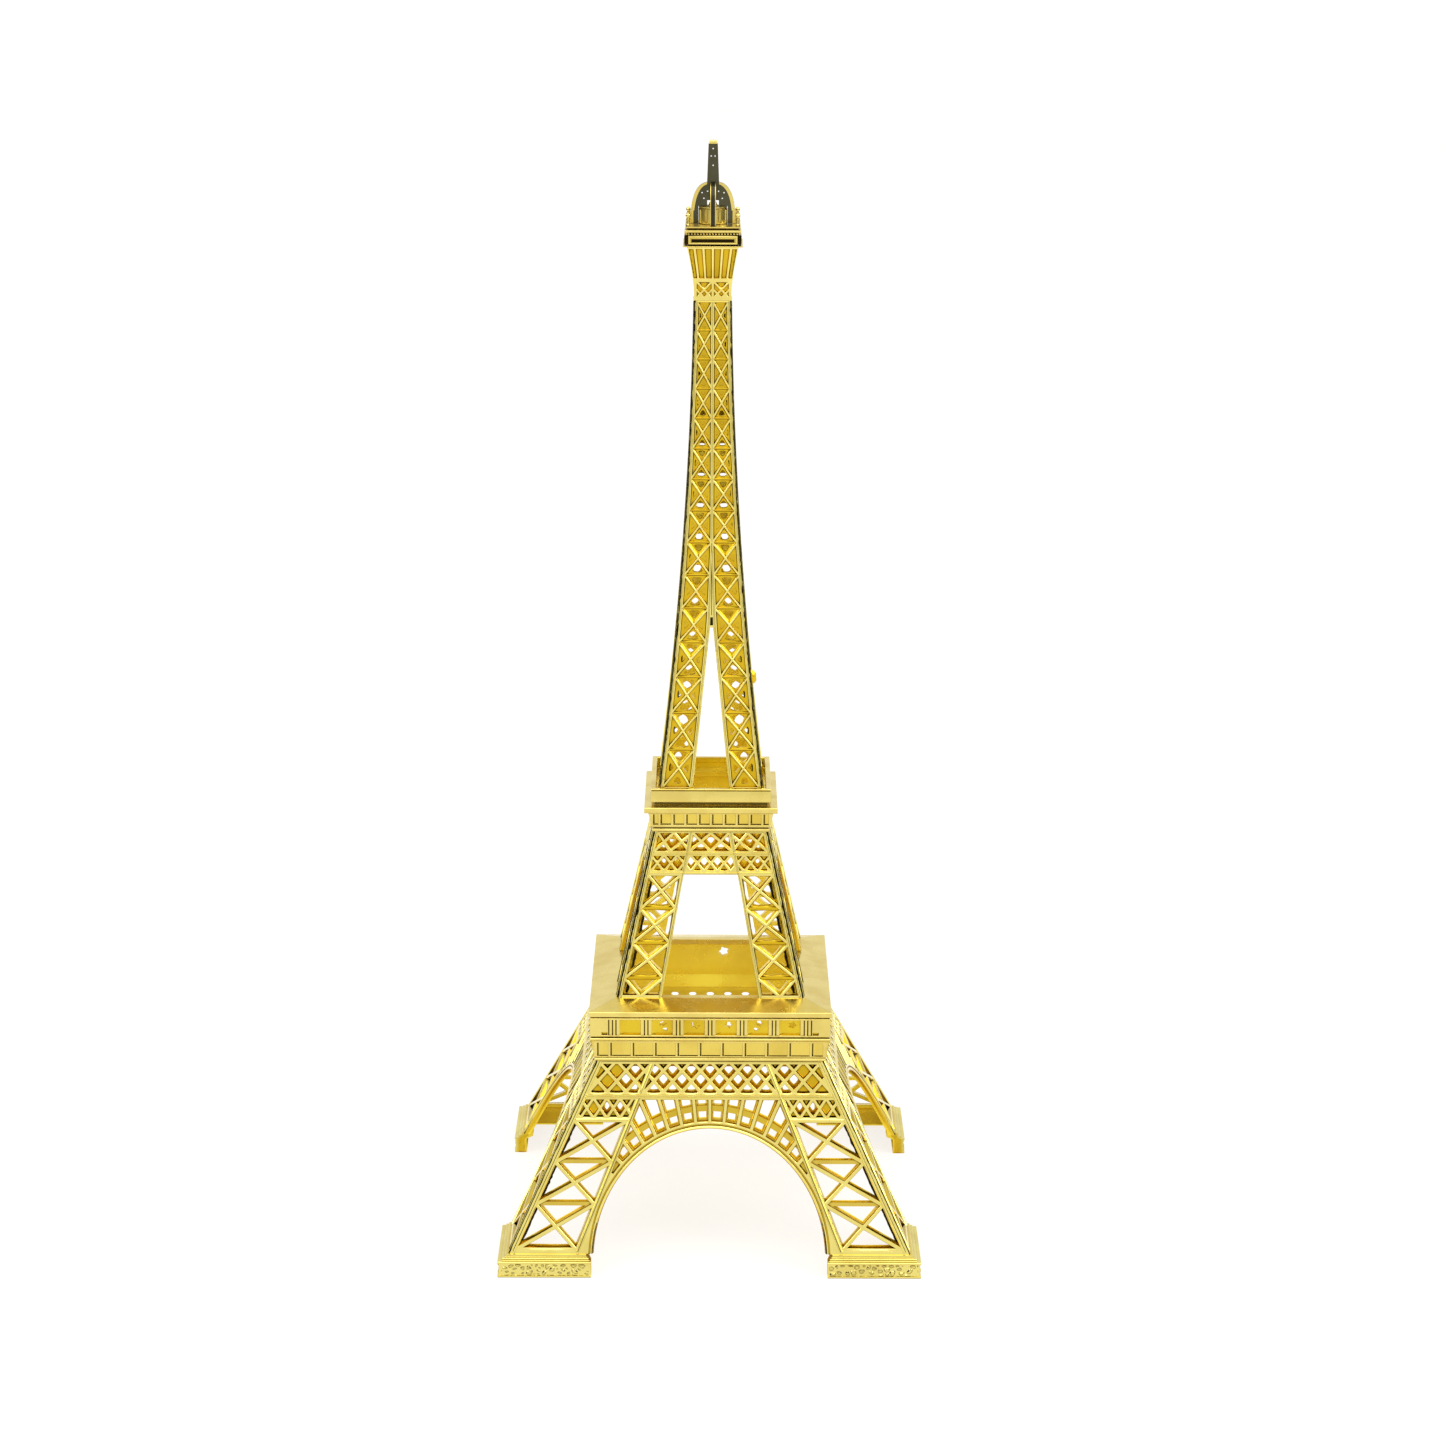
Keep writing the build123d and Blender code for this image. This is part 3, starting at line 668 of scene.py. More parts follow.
def base_main_band():
    """Diamond lattice across the whole side, with the inner chords running through it."""
    z0, z1 = 47.8, 55.5
    row = 53.6
    pitch = 5.45
    region = across(lambda z: base_half(z) - 2.1, z0, z1)
    lines = []
    for k in range(-8, 8):
        x = (k + 0.5) * pitch
        lines.append(((x - (row - z0), z0), (x + (z1 - row), z1)))
        lines.append(((x + (row - z0), z0), (x - (z1 - row), z1)))
    cells = split_by_chords(split_by_bars(region, lines, 0.36), base_chord, z0, z1)
    pockets = []
    for cell in cells:
        if usable(cell, 0.3):
            centre, radius = incircle(cell)
            if abs(centre.x) < 26.5 and radius > 0.7:
                pocket = through_pocket(cell, BASE_WALL, radius * 0.4, 0.3, waist=(radius * 0.28, 1.3))
                for number, ceiling in ((2, 54.6), (3, 54.2)):
                    ring, depth = pocket["rings"][number]
                    pocket["rings"][number] = ([(x, min(z, ceiling)) for x, z in ring], depth)
                pockets.append(pocket)
            else:
                pockets.append(blind_pocket(cell, 1.2, min(0.3, radius * 0.5)))
    return pockets


def arch_pockets():
    """Cells between the radial bars, crossed by the sunk middle ring of the arch."""
    pockets = []
    step = math.radians(6.6)
    centre = Vector((0, ARCH_CENTRE))

    def spoke(angle, radius):
        return centre + Vector((math.sin(angle), math.cos(angle))) * radius

    for k in range(-8, 8):
        first, second = k * step, (k + 1) * step
        middle = (first + second) / 2
        cell = [tuple(spoke(angle, radius)) for angle, radius in
                ((second, 35.55), (first, 35.55), (first, 62), (second, 62))][::-1]
        cell = cell if area(cell) > 0 else cell[::-1]
        cell = clip(cell, spoke(first, 60), spoke(first, 20), -100)
        cell = clip(cell, spoke(first, 20), spoke(first, 60), -100)
        for angle, sign in ((first, 1), (second, -1)):
            low, high = spoke(angle, 20), spoke(angle, 60)
            cell = clip(cell, high, low, 0.4) if sign > 0 else clip(cell, low, high, 0.4)
        cell = below(cell, 46.2) if cell else []
        for side in (-1, 1):
            foot = (side * (base_chord(10) - 0.8), 10)
            head = (side * (base_chord(50) - 0.8), 50)
            cell = clip(cell, *((foot, head) if side > 0 else (head, foot))) if cell else []
        if not usable(cell, 0.45):
            continue
        sunk = rim(cell, 0.4, steps=1)
        tangent = Vector((math.cos(middle), -math.sin(middle)))
        inner_touch, outer_touch = spoke(middle, 38.0), spoke(middle, 39.5)
        halves = [
            clip(sunk, inner_touch + tangent, inner_touch - tangent),
            clip(sunk, outer_touch - tangent, outer_touch + tangent),
        ]
        mouths = [sunk_hole(half, 0.9, BASE_WALL, 0.2, 0.12) for half in halves if usable(half, 0.3)]
        pockets.append(blind_pocket(cell, 0.9, 0.28, edge=0.1, children=mouths))
    return pockets


# Arch rim from the front face inwards, as (radius, depth): band edge, groove, rounded rim.
ARCH_RIM = (
    (35.05, 0.0), (34.98, 0.45), (34.6, 0.45), (34.5, 0.1), (34.15, 0.0), (33.75, 0.3), (33.5, 0.9),
    (33.5, BASE_WALL),
)
BASE_DEPTHS = (0.0, 0.12, 0.4, 0.7, 1.0, 1.4, 1.8, BASE_WALL)


def arch_edge(k):
    """The k-th ring of the arch rim, from the left foot to the right foot."""
    radius, depth = ARCH_RIM[k]
    foot_angle = math.asin((PEDESTAL_TOP - ARCH_CENTRE) / radius)
    count = 56
    points = []
    for step in range(count + 1):
        angle = math.pi - foot_angle - (math.pi - 2 * foot_angle) * step / count
        z = ARCH_CENTRE + radius * math.sin(angle) if 0 < step < count else PEDESTAL_TOP
        points.append((radius * math.cos(angle), z, depth))
    return points


def edge_ridge(solid, place, side, edge, low, high, width, proud=0.22):
    """A ridge along one side, on an edge given as a half width at each level."""
    solid.ridge(place, (side * edge(low), low), (side * edge(high), high), width, proud)


def base_casting(seed):
    solid = Solid()
    place = leaning(base_half)
    rings = mitred_rings(base_half, PEDESTAL_TOP, BASE_TOP, 0.26, seed, 0.8, BASE_DEPTHS, arch_edge)
    solid.casting(place, rings, base_pockets(), short_of_mitre(base_half))
    for side in (-1, 1):
        edge_ridge(solid, place, side, base_chord, 6.9, 55.4, 0.5)
        edge_ridge(solid, place, side, lambda z: base_chord(z) - 0.5, 6.9, 46.6, 0.36)
        edge_ridge(solid, place, side, lambda z: base_half(z) - 1.5, 6.9, 56, 0.8)
        solid.ridge(place, (side * base_chord(41.0), 41.0), (side * (base_half(41.0) - 1.9), 41.0), 0.5, 0.12)
        solid.join(pedestal(side, seed * 4 + side))
    for z in (46.7, 47.3, 56.0):
        reach = base_half(z) - 1.9
        solid.ridge(place, (-reach, z), (reach, z), 0.4, 0.16)
    return solid


def pedestal(side, seed):
    """Stepped pedestal block with a pebbled band; its outer end is mitred."""
    solid = Solid()
    first_step, second_step = 4.95, 5.62
    section = [
        (57.5, 0.0), (61.0, 0.0), (61.2, 0.2), (61.2, 0.6), (60.85, 0.8), (60.85, 4.2), (61.2, 4.4),
        (61.2, 4.8), (61.05, 4.9), (60.1, 4.9), (60.0, 5.0), (60.0, 5.5), (59.9, 5.6), (59.2, 5.6),
        (59.1, 5.7), (59.1, 6.2), (59.0, 6.35), (55.5, 6.35), (55.5, 5.2), (57.5, 4.6),
    ]
    inner_end = PEDESTAL_INNER_END
    ends = [inner_end + 0.7 * ((z >= first_step) + (z >= second_step)) for _, z in section]
    rings = [
        [Vector((side * x, -half, z)) for x, (half, z) in zip(ends, section)],
        [Vector((side * (half - SEAM_CLEARANCE), -half, z)) for half, z in section],
    ]
    solid.tube(rings)
    # The inner faces take the recess tint of deep insides, painted brighter as light; the outer faces get a
    # little near-black painted shade.
    for vertex in solid.bm.verts:
        if -vertex.co.y < 58.0:
            vertex[solid.recess] = 1.5
        else:
            vertex[solid.painted_shade] = 0.1
    solid.join(pebble_slab(side, inner_end + 0.25, 60.5, 0.85, 4.15, 60.6, seed))
    return solid


def pebble_slab(side, x0, x1, z0, z1, face, seed):
    """A closed slab whose front is covered with raised pebbles; it stands on the band."""
    solid = Solid()
    columns = 120
    rows = 15
    front = []
    for j in range(rows + 1):
        line = []
        for i in range(columns + 1):
            x = x0 + (x1 - x0) * i / columns
            z = z0 + (z1 - z0) * j / rows
            distances, _ = noise.voronoi(Vector((x * 0.55, z * 0.62, seed * 13.7)))
            rise = min(1.0, 2.1 * (distances[1] - distances[0]))
            edge = min(1.0, 3 * min(i, columns - i) / 3, 3 * min(j, rows - j) / 3)
            # The valleys between pebbles are painted darker as the shade in them.
            solid.tone = (0.0, 0.16 + 0.8 * (1 - rise))
            line.append(solid.vert((side * x, -face - 0.02 - 0.55 * rise * edge, z)))
        front.append(line)
    for j in range(rows):
        for i in range(columns):
            solid.face([front[j][i], front[j][i + 1], front[j + 1][i + 1], front[j + 1][i]])
    solid.tone = PLAIN
    border = front[0] + [line[-1] for line in front[1:]] + front[-1][-2::-1]
    border += [line[0] for line in front[-2:0:-1]]
    back = [solid.vert((v.co.x, -face + 0.4, v.co.z), 0.5) for v in border]
    for k in range(len(border)):
        solid.face([border[k - 1], border[k], back[k], back[k - 1]])
    solid.face(back)
    return solid


# ---------------------------------------------------------------- mitred sections


def swept(solid, section, pockets=None, break_through=None, turn=0, ease=0.12, whole=False, tones=None):
    """Runs a wall section of (half width, z) across one side, between its mitres.

    Each corner of the section is eased. pockets maps a strip's number to its recesses, in
    (x, distance up the strip). Holes of the strips named in break_through open into the
    strip they map to. tones maps a strip to its tone. With whole, the side ends at the
    corners of a solid square.
    """
    pockets = pockets or {}
    tones = tones or {}
    break_through = break_through or {}
    clearance = 0.0 if whole else SEAM_CLEARANCE
    spin = quarter_turn(turn)
    count = len(section)
    strips = []
    for k in range(count):
        a, b = Vector(section[k]), Vector(section[(k + 1) % count])
        cut = min(ease, 0.3 * (b - a).length)
        along = (b - a).normalized() * cut
        strips.append((a + along, b - along))
    if whole:
        strips[-1] = None
    arriving = {}
    for k in list(break_through) + [n for n in range(count) if n not in break_through]:
        if strips[k] is None:
            continue
        a, b = strips[k]
        length = (b - a).length

        def place(x, s, depth, a=a, b=b, length=length):
            half, z = a.lerp(b, s / length)
            return spin @ Vector((x, depth - half, z))

        solid.tone = tones.get(k, PLAIN)
        outline = [
            (clearance - a[0], 0), (a[0] - clearance, 0),
            (b[0] - clearance, length), (clearance - b[0], length),
        ]
        mouths = [pocket["rings"][0][0] for pocket in pockets.get(k, [])] + arriving.get(k, [])
        solid.cap(place, outline, mouths, 0.0)
        for pocket in pockets.get(k, []):
            for hole in solid.pocket(place, pocket, unbounded):
                target = break_through[k]
                top = strips[target][0][1]
                landed = [(x, top - (a.y + s)) for x, s in hole]
                arriving.setdefault(target, []).append(landed)
        if strips[(k + 1) % count] is not None:
            c = strips[(k + 1) % count][0]
            ends = ((clearance - b[0], b), (b[0] - clearance, b),
                    (c[0] - clearance, c), (clearance - c[0], c))
            solid.tone = tones.get((k + 1) % count, PLAIN)
            solid.face([solid.vert(spin @ Vector((x, -p[0], p[1]))) for x, p in ends])
    solid.tone = PLAIN
    if whole:
        return [spin @ Vector((p[0], -p[0], p[1])) for p in (strips[0][0], strips[-2][1])]
    loop = [p for strip in strips for p in strip]
    for side in (-1, 1):
        solid.face([solid.vert(spin @ Vector((side * (p[0] - clearance), -p[0], p[1]))) for p in loop])
    return None


def square_block(section, ease=0.1, tones=None):
    """A solid square body with the same section on all four sides."""
    solid = Solid()
    corners = [swept(solid, section, turn=turn, ease=ease, whole=True, tones=tones) for turn in range(4)]
    for end in (0, 1):
        solid.face([solid.vert(corner[end]) for corner in corners])
    return solid


GALLERY_SECTION = (
    (30.2, 56.5), (33.8, 56.5), (33.8, 57.25), (33.4, 57.35), (33.88, 57.65), (34.78, 63.1), (35.1, 63.2),
    (35.1, 63.85), (34.5, 63.95), (34.5, 64.25), (35.0, 64.35), (35.0, 70.0), (34.5, 70.1), (34.5, 70.35),
    (35.3, 70.45), (35.3, 71.95), (27.7, 73.8), (25.0, 73.8), (25.0, 72.2), (27.7, 72.2), (32.4, 70.0),
    (32.4, 60.0),
)
# Strips 8 and 12, the grooves under the mouldings, are painted dark as shade; the inner strips take the
# recess tint, painted brighter as light inside.
GALLERY_TONES = {8: LINE, 12: LINE, 18: DEEP, 19: DEEP, 20: DEEP, 21: DEEP}
FRIEZE_STRIP = 4
ARCADE_STRIP = 10
INNER_WALL_STRIP = 20
ARCADE_PITCH = 9.3
WINDOW_FLOOR = 1.15


def frieze_panels():
    """Shallow panels between the frieze ribs, each with a groove along its left and lower edge."""
    pitch, rib = 6.53, 0.5
    low, high = 0.15, 4.7
    edges = [(k - 0.5) * pitch + rib / 2 for k in range(-4, 6)]
    spans = [(x, x + pitch - rib) for x in edges[:-1]]
    spans += [(edges[-1], 33.0), (-33.0, -edges[-1])]
    panels = []
    for x0, x1 in spans:
        upright = groove(x0 + 0.1, low + 0.1, x0 + 0.5, high - 0.1, 0.2, 0.7)
        level = groove(x0 + 0.65, low + 0.1, x1 - 0.1, low + 0.4, 0.2, 0.65)
        cell = box_cell(x0, low, x1, high)
        panels.append(blind_pocket(cell, 0.2, 0.05, edge=0.04, children=[upright, level]))
    return panels


def arcade_recesses(voids):
    """Blind windows, each with a splayed left jamb, and the narrow grooves between paired posts.

    voids lists (window, x, height, size) of the holes that a thin floor was cast with.
    """
    low, high = 0.3, 5.1
    pockets = []
    for k in (-2.5, -1.5, -0.5, 0.5, 1.5, 2.5):
        x = k * ARCADE_PITCH
        window = box_cell(x - 3.1, low, x + 3.1, high)
        floor = box_cell(x - 1.7, low + 0.3, x + 2.9, high - 0.25)
        children = [casting_void(x + void[1], low + void[2], void[3]) for void in voids if void[0] == k]
        rings = [(rim(window, 0), 0.0), (rim(window, 0.06), 0.06), (rim(window, 0.12), 0.5),
                 (rim(floor, 0), WINDOW_FLOOR)]
        # The windows take the recess floor's painted shade and a little near-black painted shade.
        pockets.append({"rings": rings, "through": False, "children": children, "tone": (-0.2, 0.06)})
    grooves = [k * ARCADE_PITCH + offset for k in range(-3, 4) for offset in (-0.5, 0.5)]
    grooves += [side * (3 * ARCADE_PITCH + 1.6) for side in (-1, 1)]
    for x in grooves:
        slit = blind_pocket(box_cell(x - 0.2, low, x + 0.2, high), 0.65, 0.05, edge=0.04)
        # The slits are painted dark as the shade in them.
        slit["tone"] = LINE
        pockets.append(slit)
    for side in (-1, 1):
        x = side * 30.75
        pockets.append(blind_pocket(box_cell(x - 0.9, low, x + 0.9, low + 1.0), 0.9, 0.25, edge=0.06))
    return pockets


def casting_void(x, height, size):
    """An irregular hole where the thin floor of a window was not filled in casting."""
    outline = []
    for k, angle in enumerate(angles_round(10)):
        reach = size * (1 + 0.4 * noise.noise(Vector((x, height + k * 1.7, size))) - 0.36 * (k % 2))
        outline.append((x + reach * math.cos(angle), height + 0.85 * reach * math.sin(angle)))
    wider = [(x + 1.12 * (px - x), height + 1.12 * (pz - height)) for px, pz in outline]
    return {"rings": [(outline, WINDOW_FLOOR), (wider, 2.6)], "through": True, "children": []}


# Voids of the front and the rear gallery, as (window, x, height, size).
FRONT_VOIDS = (
    (-1.5, 0.1, 3.3, 1.1), (-1.5, 0.9, 1.5, 0.8), (-0.5, 0.3, 2.9, 1.4), (0.5, 0.7, 3.0, 1.35),
    (1.5, 0.4, 3.5, 1.15), (1.5, -0.5, 1.6, 0.9), (2.5, 0.6, 3.0, 1.3),
)
REAR_VOIDS = ((-0.5, 0.5, 2.45, 1.85),)
VOIDS = {"front": FRONT_VOIDS, "rear": REAR_VOIDS}


def gallery_casting(voids):
    solid = Solid()
    pockets = {FRIEZE_STRIP: frieze_panels(), ARCADE_STRIP: arcade_recesses(voids)}
    swept(solid, GALLERY_SECTION, pockets, {ARCADE_STRIP: INNER_WALL_STRIP}, tones=GALLERY_TONES)
    for k in range(-3, 4):
        for offset in (-1.0, 1.0):
            column_block(solid, k * ARCADE_PITCH + offset, 64.5, 0.42, 0.5, 35.0, 0.25)
    return solid


def column_block(solid, x, z, half_width, height, face, proud):
    """A small base or capital that stands out from the face of a post."""
    back = box_cell(x - half_width, z, x + half_width, z + height)
    front = rim(back, 0.08, steps=1)
    back = back[-1:] + back[:-1]
    levels_out = ((back, 0.2 - face), (front, -face - proud))
    solid.tube([[Vector((px, y, pz)) for px, pz in ring] for ring, y in levels_out])


PLATFORM_SECTION = (
    (14.6, 121.4), (17.2, 121.4), (17.2, 122.2), (16.7, 122.3), (16.7, 122.65), (17.2, 122.75),
    (17.22, 123.0), (18.2, 127.2), (18.0, 127.3), (18.0, 127.5), (19.4, 127.6), (19.4, 129.2),
    (16.5, 129.3), (16.5, 130.3), (17.5, 130.4), (17.5, 133.7), (17.25, 133.8), (17.25, 134.0),
    (17.5, 134.1), (17.5, 134.4), (16.0, 134.4), (16.0, 132.9), (16.3, 132.7), (16.3, 131.2),
    (12.2, 131.2), (12.2, 129.6), (14.6, 129.6),
)
# Grooves 3, 8, 12 and 16 are painted dark as shade, 12 nearly black; strips 20 to 26, the inside, take the
# recess tint, painted brighter as light.
PLATFORM_TONES = {3: LINE, 8: LINE, 12: (0.0, 0.85), 16: LINE, **dict.fromkeys(range(20, 27), DEEP)}
BRACKET_STRIP = 6


def platform_casting():
    solid = Solid()
    pitch, rib = 3.75, 0.55
    low, high = 0.35, 3.98
    edges = [(k - 4) * pitch + rib / 2 for k in range(9)]
    cells = [box_cell(x, low, x + pitch - rib, high) for x in edges[:-1]]
    cells += [box_cell(edges[-1], low, 16.9, high), mirrored(box_cell(edges[-1], low, 16.9, high))]
    hollows = []
    for cell in cells:
        x0, x1 = min(x for x, _ in cell), max(x for x, _ in cell)
        upright = groove(x0 + 0.1, low + 0.5, x0 + 0.5, high - 0.15, 0.25, 0.7)
        level = groove(x0 + 0.1, low + 0.1, x1 - 0.1, low + 0.42, 0.25, 0.7)
        hollows.append(blind_pocket(cell, 0.25, 0.06, edge=0.05, children=[upright, level]))
    swept(solid, PLATFORM_SECTION, {BRACKET_STRIP: hollows}, tones=PLATFORM_TONES)
    return solid


# ---------------------------------------------------------------- middle tier


MIDDLE_DEPTHS = (0.0, 0.12, 1.2, MIDDLE_WALL)


def middle_pockets():
    foot_node = 2 * ROOF_RIDGE - 79.3
    nodes = (foot_node, 79.3, 89.3, 99.2, 109.0)
    sides, diamonds, ends = crossed_bays(
        nodes, lambda z: middle_chord(z) + 0.95, lambda z: middle_half(z) - 1.65, 0.45, 0.3,
        ROOF_RIDGE + 0.55, 108.7)
    pockets = []
    for cell in both(sides + ends):
        pockets.append(floored_cell(cell, 0.0, 0.75, 0.88, 0.25, MIDDLE_WALL))
    for cell, level in diamonds:
        for own in (cell, mirrored(cell)):
            halves = strut_halves(own, level, 0.35, 0.16)
            mouths = [floored_cell(half, 0.55, 0.8, 0.9, 0.3, MIDDLE_WALL) for half in halves]
            pockets.append(blind_pocket(own, 0.55, 0.12, edge=0.08, children=mouths))
    return pockets + fine_band() + cross_band()


def fine_band():
    z0, z1 = 110.1, 114.4
    pitch = 3.9
    region = across(lambda z: middle_half(z) - 1.65, z0, z1)
    lines = band_lines([pitch * k for k in range(-5, 6)], pitch, z0 - 0.2, z1 + 0.2)
    cells = split_by_chords(split_by_bars(region, lines, 0.27), middle_chord, z0, z1)
    pockets = []
    for cell in cells:
        if usable(cell, 0.25):
            centre, radius = incircle(cell)
            if abs(centre.x) < 6.6 and radius > 0.7:
                pockets.append(through_pocket(cell, MIDDLE_WALL, radius * 0.3, 0.3, edge=0.08))
            elif radius > 0.7 and not at_mitre(cell, middle_half, MIDDLE_WALL):
                pockets.append(through_pocket(cell, MIDDLE_WALL, radius * 0.6, 0.5, edge=0.08))
            else:
                pockets.append(blind_pocket(cell, 0.8, radius * 0.5, edge=0.06))
    return pockets


def cross_band():
    """Two crosses over each leg and two between the legs, under the platform."""
    z0, z1 = 115.7, 120.9

    def chord(z):
        return middle_chord(z) - 0.55

    def post(z):
        return (middle_chord(z) + middle_half(z)) / 2 - 0.55

    def edge(z):
        return middle_half(z) - 1.65

    lines = []
    for side in (-1, 1):
        lines += [((0, z0), (side * chord(z1), z1)), ((side * chord(z0), z0), (0, z1))]
    cells = split_by_bars(across(chord, z0, z1), lines, 0.3)
    region = between(lambda z: chord(z) + 1.1, edge, z0, z1)
    lines = []
    for inner, outer in ((chord, post), (post, edge)):
        lines += [((inner(z0), z0), (outer(z1), z1)), ((outer(z0), z0), (inner(z1), z1))]
    cells += both([cell for cell in split_by_bars(region, lines, 0.3) if usable(cell, 0.25)])
    pockets = []
    for cell in cells:
        if usable(cell, 0.25):
            radius = incircle(cell)[1]
            if at_mitre(cell, middle_half, MIDDLE_WALL):
                pockets.append(blind_pocket(cell, 1.0, radius * 0.5))
            else:
                waist = (radius * 0.3, 0.9)
                pockets.append(through_pocket(cell, MIDDLE_WALL, radius * 0.5, 0.35, waist=waist))
    return pockets


def middle_gap(k):
    """Edge of the gap between the legs, from the left foot to the right foot."""
    depth = MIDDLE_DEPTHS[k]
    ease = BEVEL if k == 0 else 0.0
    gap_top = 109.0
    foot = middle_chord(ROOF_RIDGE) + ease
    head = middle_chord(gap_top) + ease
    left = [(-foot, ROOF_RIDGE, depth), (-head, gap_top + ease, depth)]
    return left + [(-x, z, d) for x, z, d in left[::-1]]


def middle_casting(seed):
    solid = Solid()
    place = leaning(middle_half)
    rings = mitred_rings(middle_half, ROOF_RIDGE, MIDDLE_TOP, 0.5, seed, 0.8, MIDDLE_DEPTHS, middle_gap)
    solid.casting(place, rings, middle_pockets(), short_of_mitre(middle_half))
    for side in (-1, 1):
        foot, head = 74.1, 121
        solid.ridge(place, (side * (middle_chord(foot) + 0.62), foot), (side * middle_chord(head), head), 0.4)
        edge_ridge(solid, place, side, lambda z: middle_half(z) - 1.2, foot, head, 0.6)
    for z in (109.6, 114.75, 115.35, 121.15):
        reach = middle_half(z) - 1.5
        solid.ridge(place, (-reach, z), (reach, z), 0.32, 0.14)
    return solid


# ---------------------------------------------------------------- upper tier


UPPER_DEPTHS = (0.0, 0.1, 0.8, UPPER_WALL)


def upper_inner(z):
    """Distance of the inner chord's outer edge from the centre line."""
    if z < UPPER_MERGE:
        return gap_half(z) + 0.95
    return 0.4 + max(0.0, (CHORD_MERGE - z) / (CHORD_MERGE - UPPER_MERGE))


def upper_outer(z):
    return upper_half(z) - 1.25


def upper_pockets():
    """Sunk diamonds with a strut each, side cells, and the line between the legs, painted dark as the shade
    in it.
    """
    nodes = [upper_node(n) for n in range(16)]
    sides, diamonds, ends = crossed_bays(nodes, upper_inner, upper_outer, 0.3, 0.2, 132.2, UPPER_TOP - 0.4)
    pockets = [upper_cell(cell, 0.0, 0.55, 172.0) for cell in both(sides + ends)]
    for cell, level in diamonds:
        for own in (cell, mirrored(cell)):
            mouths = []
            for half in strut_halves(own, level, 0.16, 0.13):
                over = incircle(half)[0].y > level
                mouths.append(upper_cell(half, 0.45, 1.0, 250.0 if over else 240.0))
            pockets.append(blind_pocket(own, 0.45, 0.1, edge=0.05, children=mouths))
    notch = blind_pocket([(-0.45, 181.6), (0.45, 181.6), (0.4, 184.0), (-0.4, 184.0)], 1.0, 0.08, edge=0.04)
    line = blind_pocket(box_cell(-0.11, 184.6, 0.11, 205.6), 0.4, 0.03, edge=0.02)
    # The notch and the line are painted dark as shade.
    notch["tone"] = FULL_PAINTED_SHADE
    line["tone"] = LINE
    return pockets + [notch, line]


def upper_cell(cell, start, share, limit):
    """A floored pocket; its hole shrinks with height and is a blind dimple above the limit."""
    centre, radius = incircle(cell)
    share *= max(0.6, 0.95 - 0.3 * (centre.y - DECK_TOP) / 100.0)
    if centre.y < limit and radius > 0.5:
        return floored_cell(cell, start, 0.7, share, 0.7, UPPER_WALL)
    pocket = floored_cell(cell, start, 0.55, 0.5, 0.6, 1.2, opens=False)
    # Blind dimples on a sunk floor take a little painted shade.
    pocket["tone"] = (0.0, 0.12 if start else 0.0)
    return pocket


def upper_gap(k):
    depth = UPPER_DEPTHS[k]
    ease = BEVEL if k == 0 else 0.0
    left = [(-gap_half(z) - ease, z, depth) for z in levels(DECK_TOP, UPPER_MERGE, 5.0)]
    return left + [(-x, z, d) for x, z, d in left[::-1]]


def runner_stub(solid, place):
    """The stub of a casting runner that was not trimmed off beside the chord."""
    rings = []
    for depth, reach in ((0.5, 1.7), (-0.3, 1.8), (-1.0, 1.5), (-1.5, 0.9)):
        ring = []
        for k, angle in enumerate(angles_round(14)):
            lump = 1 + 0.35 * noise.noise(Vector((k * 0.9, depth, 2.0)))
            x = -9.5 + 0.6 * reach * lump * math.cos(angle)
            z = 166.2 + 1.2 * reach * lump * math.sin(angle)
            ring.append(place(x, z, depth))
        rings.append(ring)
    solid.tube(rings, 0.9)


def upper_casting(seed, with_stub):
    solid = Solid()
    place = leaning(upper_half)
    rings = mitred_rings(upper_half, DECK_TOP, UPPER_TOP, 0.3, seed, 0.9, UPPER_DEPTHS, upper_gap)
    solid.casting(place, rings, upper_pockets(), short_of_mitre(upper_half))
    top = UPPER_TOP - 0.3
    heights = levels(DECK_TOP + 0.3, top, 7.0)
    for side in (-1, 1):
        for z0, z1 in zip(heights, heights[1:]):
            edge_ridge(solid, place, side, lambda z: upper_half(z) - 0.78, z0, z1, 0.45, 0.16)
            if z1 < CHORD_MERGE + 1:
                edge_ridge(solid, place, side, lambda z: upper_inner(z) - 0.5, z0, z1, 0.4, 0.16)
    if with_stub:
        runner_stub(solid, place)
    solid.ridge(place, (0, CHORD_MERGE), (0, top), 0.3, 0.14)
    solid.ridge(place, (upper_half(top) * -0.8, top - 0.1), (upper_half(top) * 0.8, top - 0.1), 0.3, 0.12)
    return solid


# ---------------------------------------------------------------- top


BRACKET_SECTION = ((5.25, 275.3), (5.35, 279.0), (5.95, 284.0), (6.7, 288.0), (7.3, 290.8))


def bracket_half(z):
    for (half_a, z_a), (half_b, z_b) in zip(BRACKET_SECTION, BRACKET_SECTION[1:]):
        if z <= z_b:
            return half_a + (half_b - half_a) * (z - z_a) / (z_b - z_a)
    return BRACKET_SECTION[-1][0]


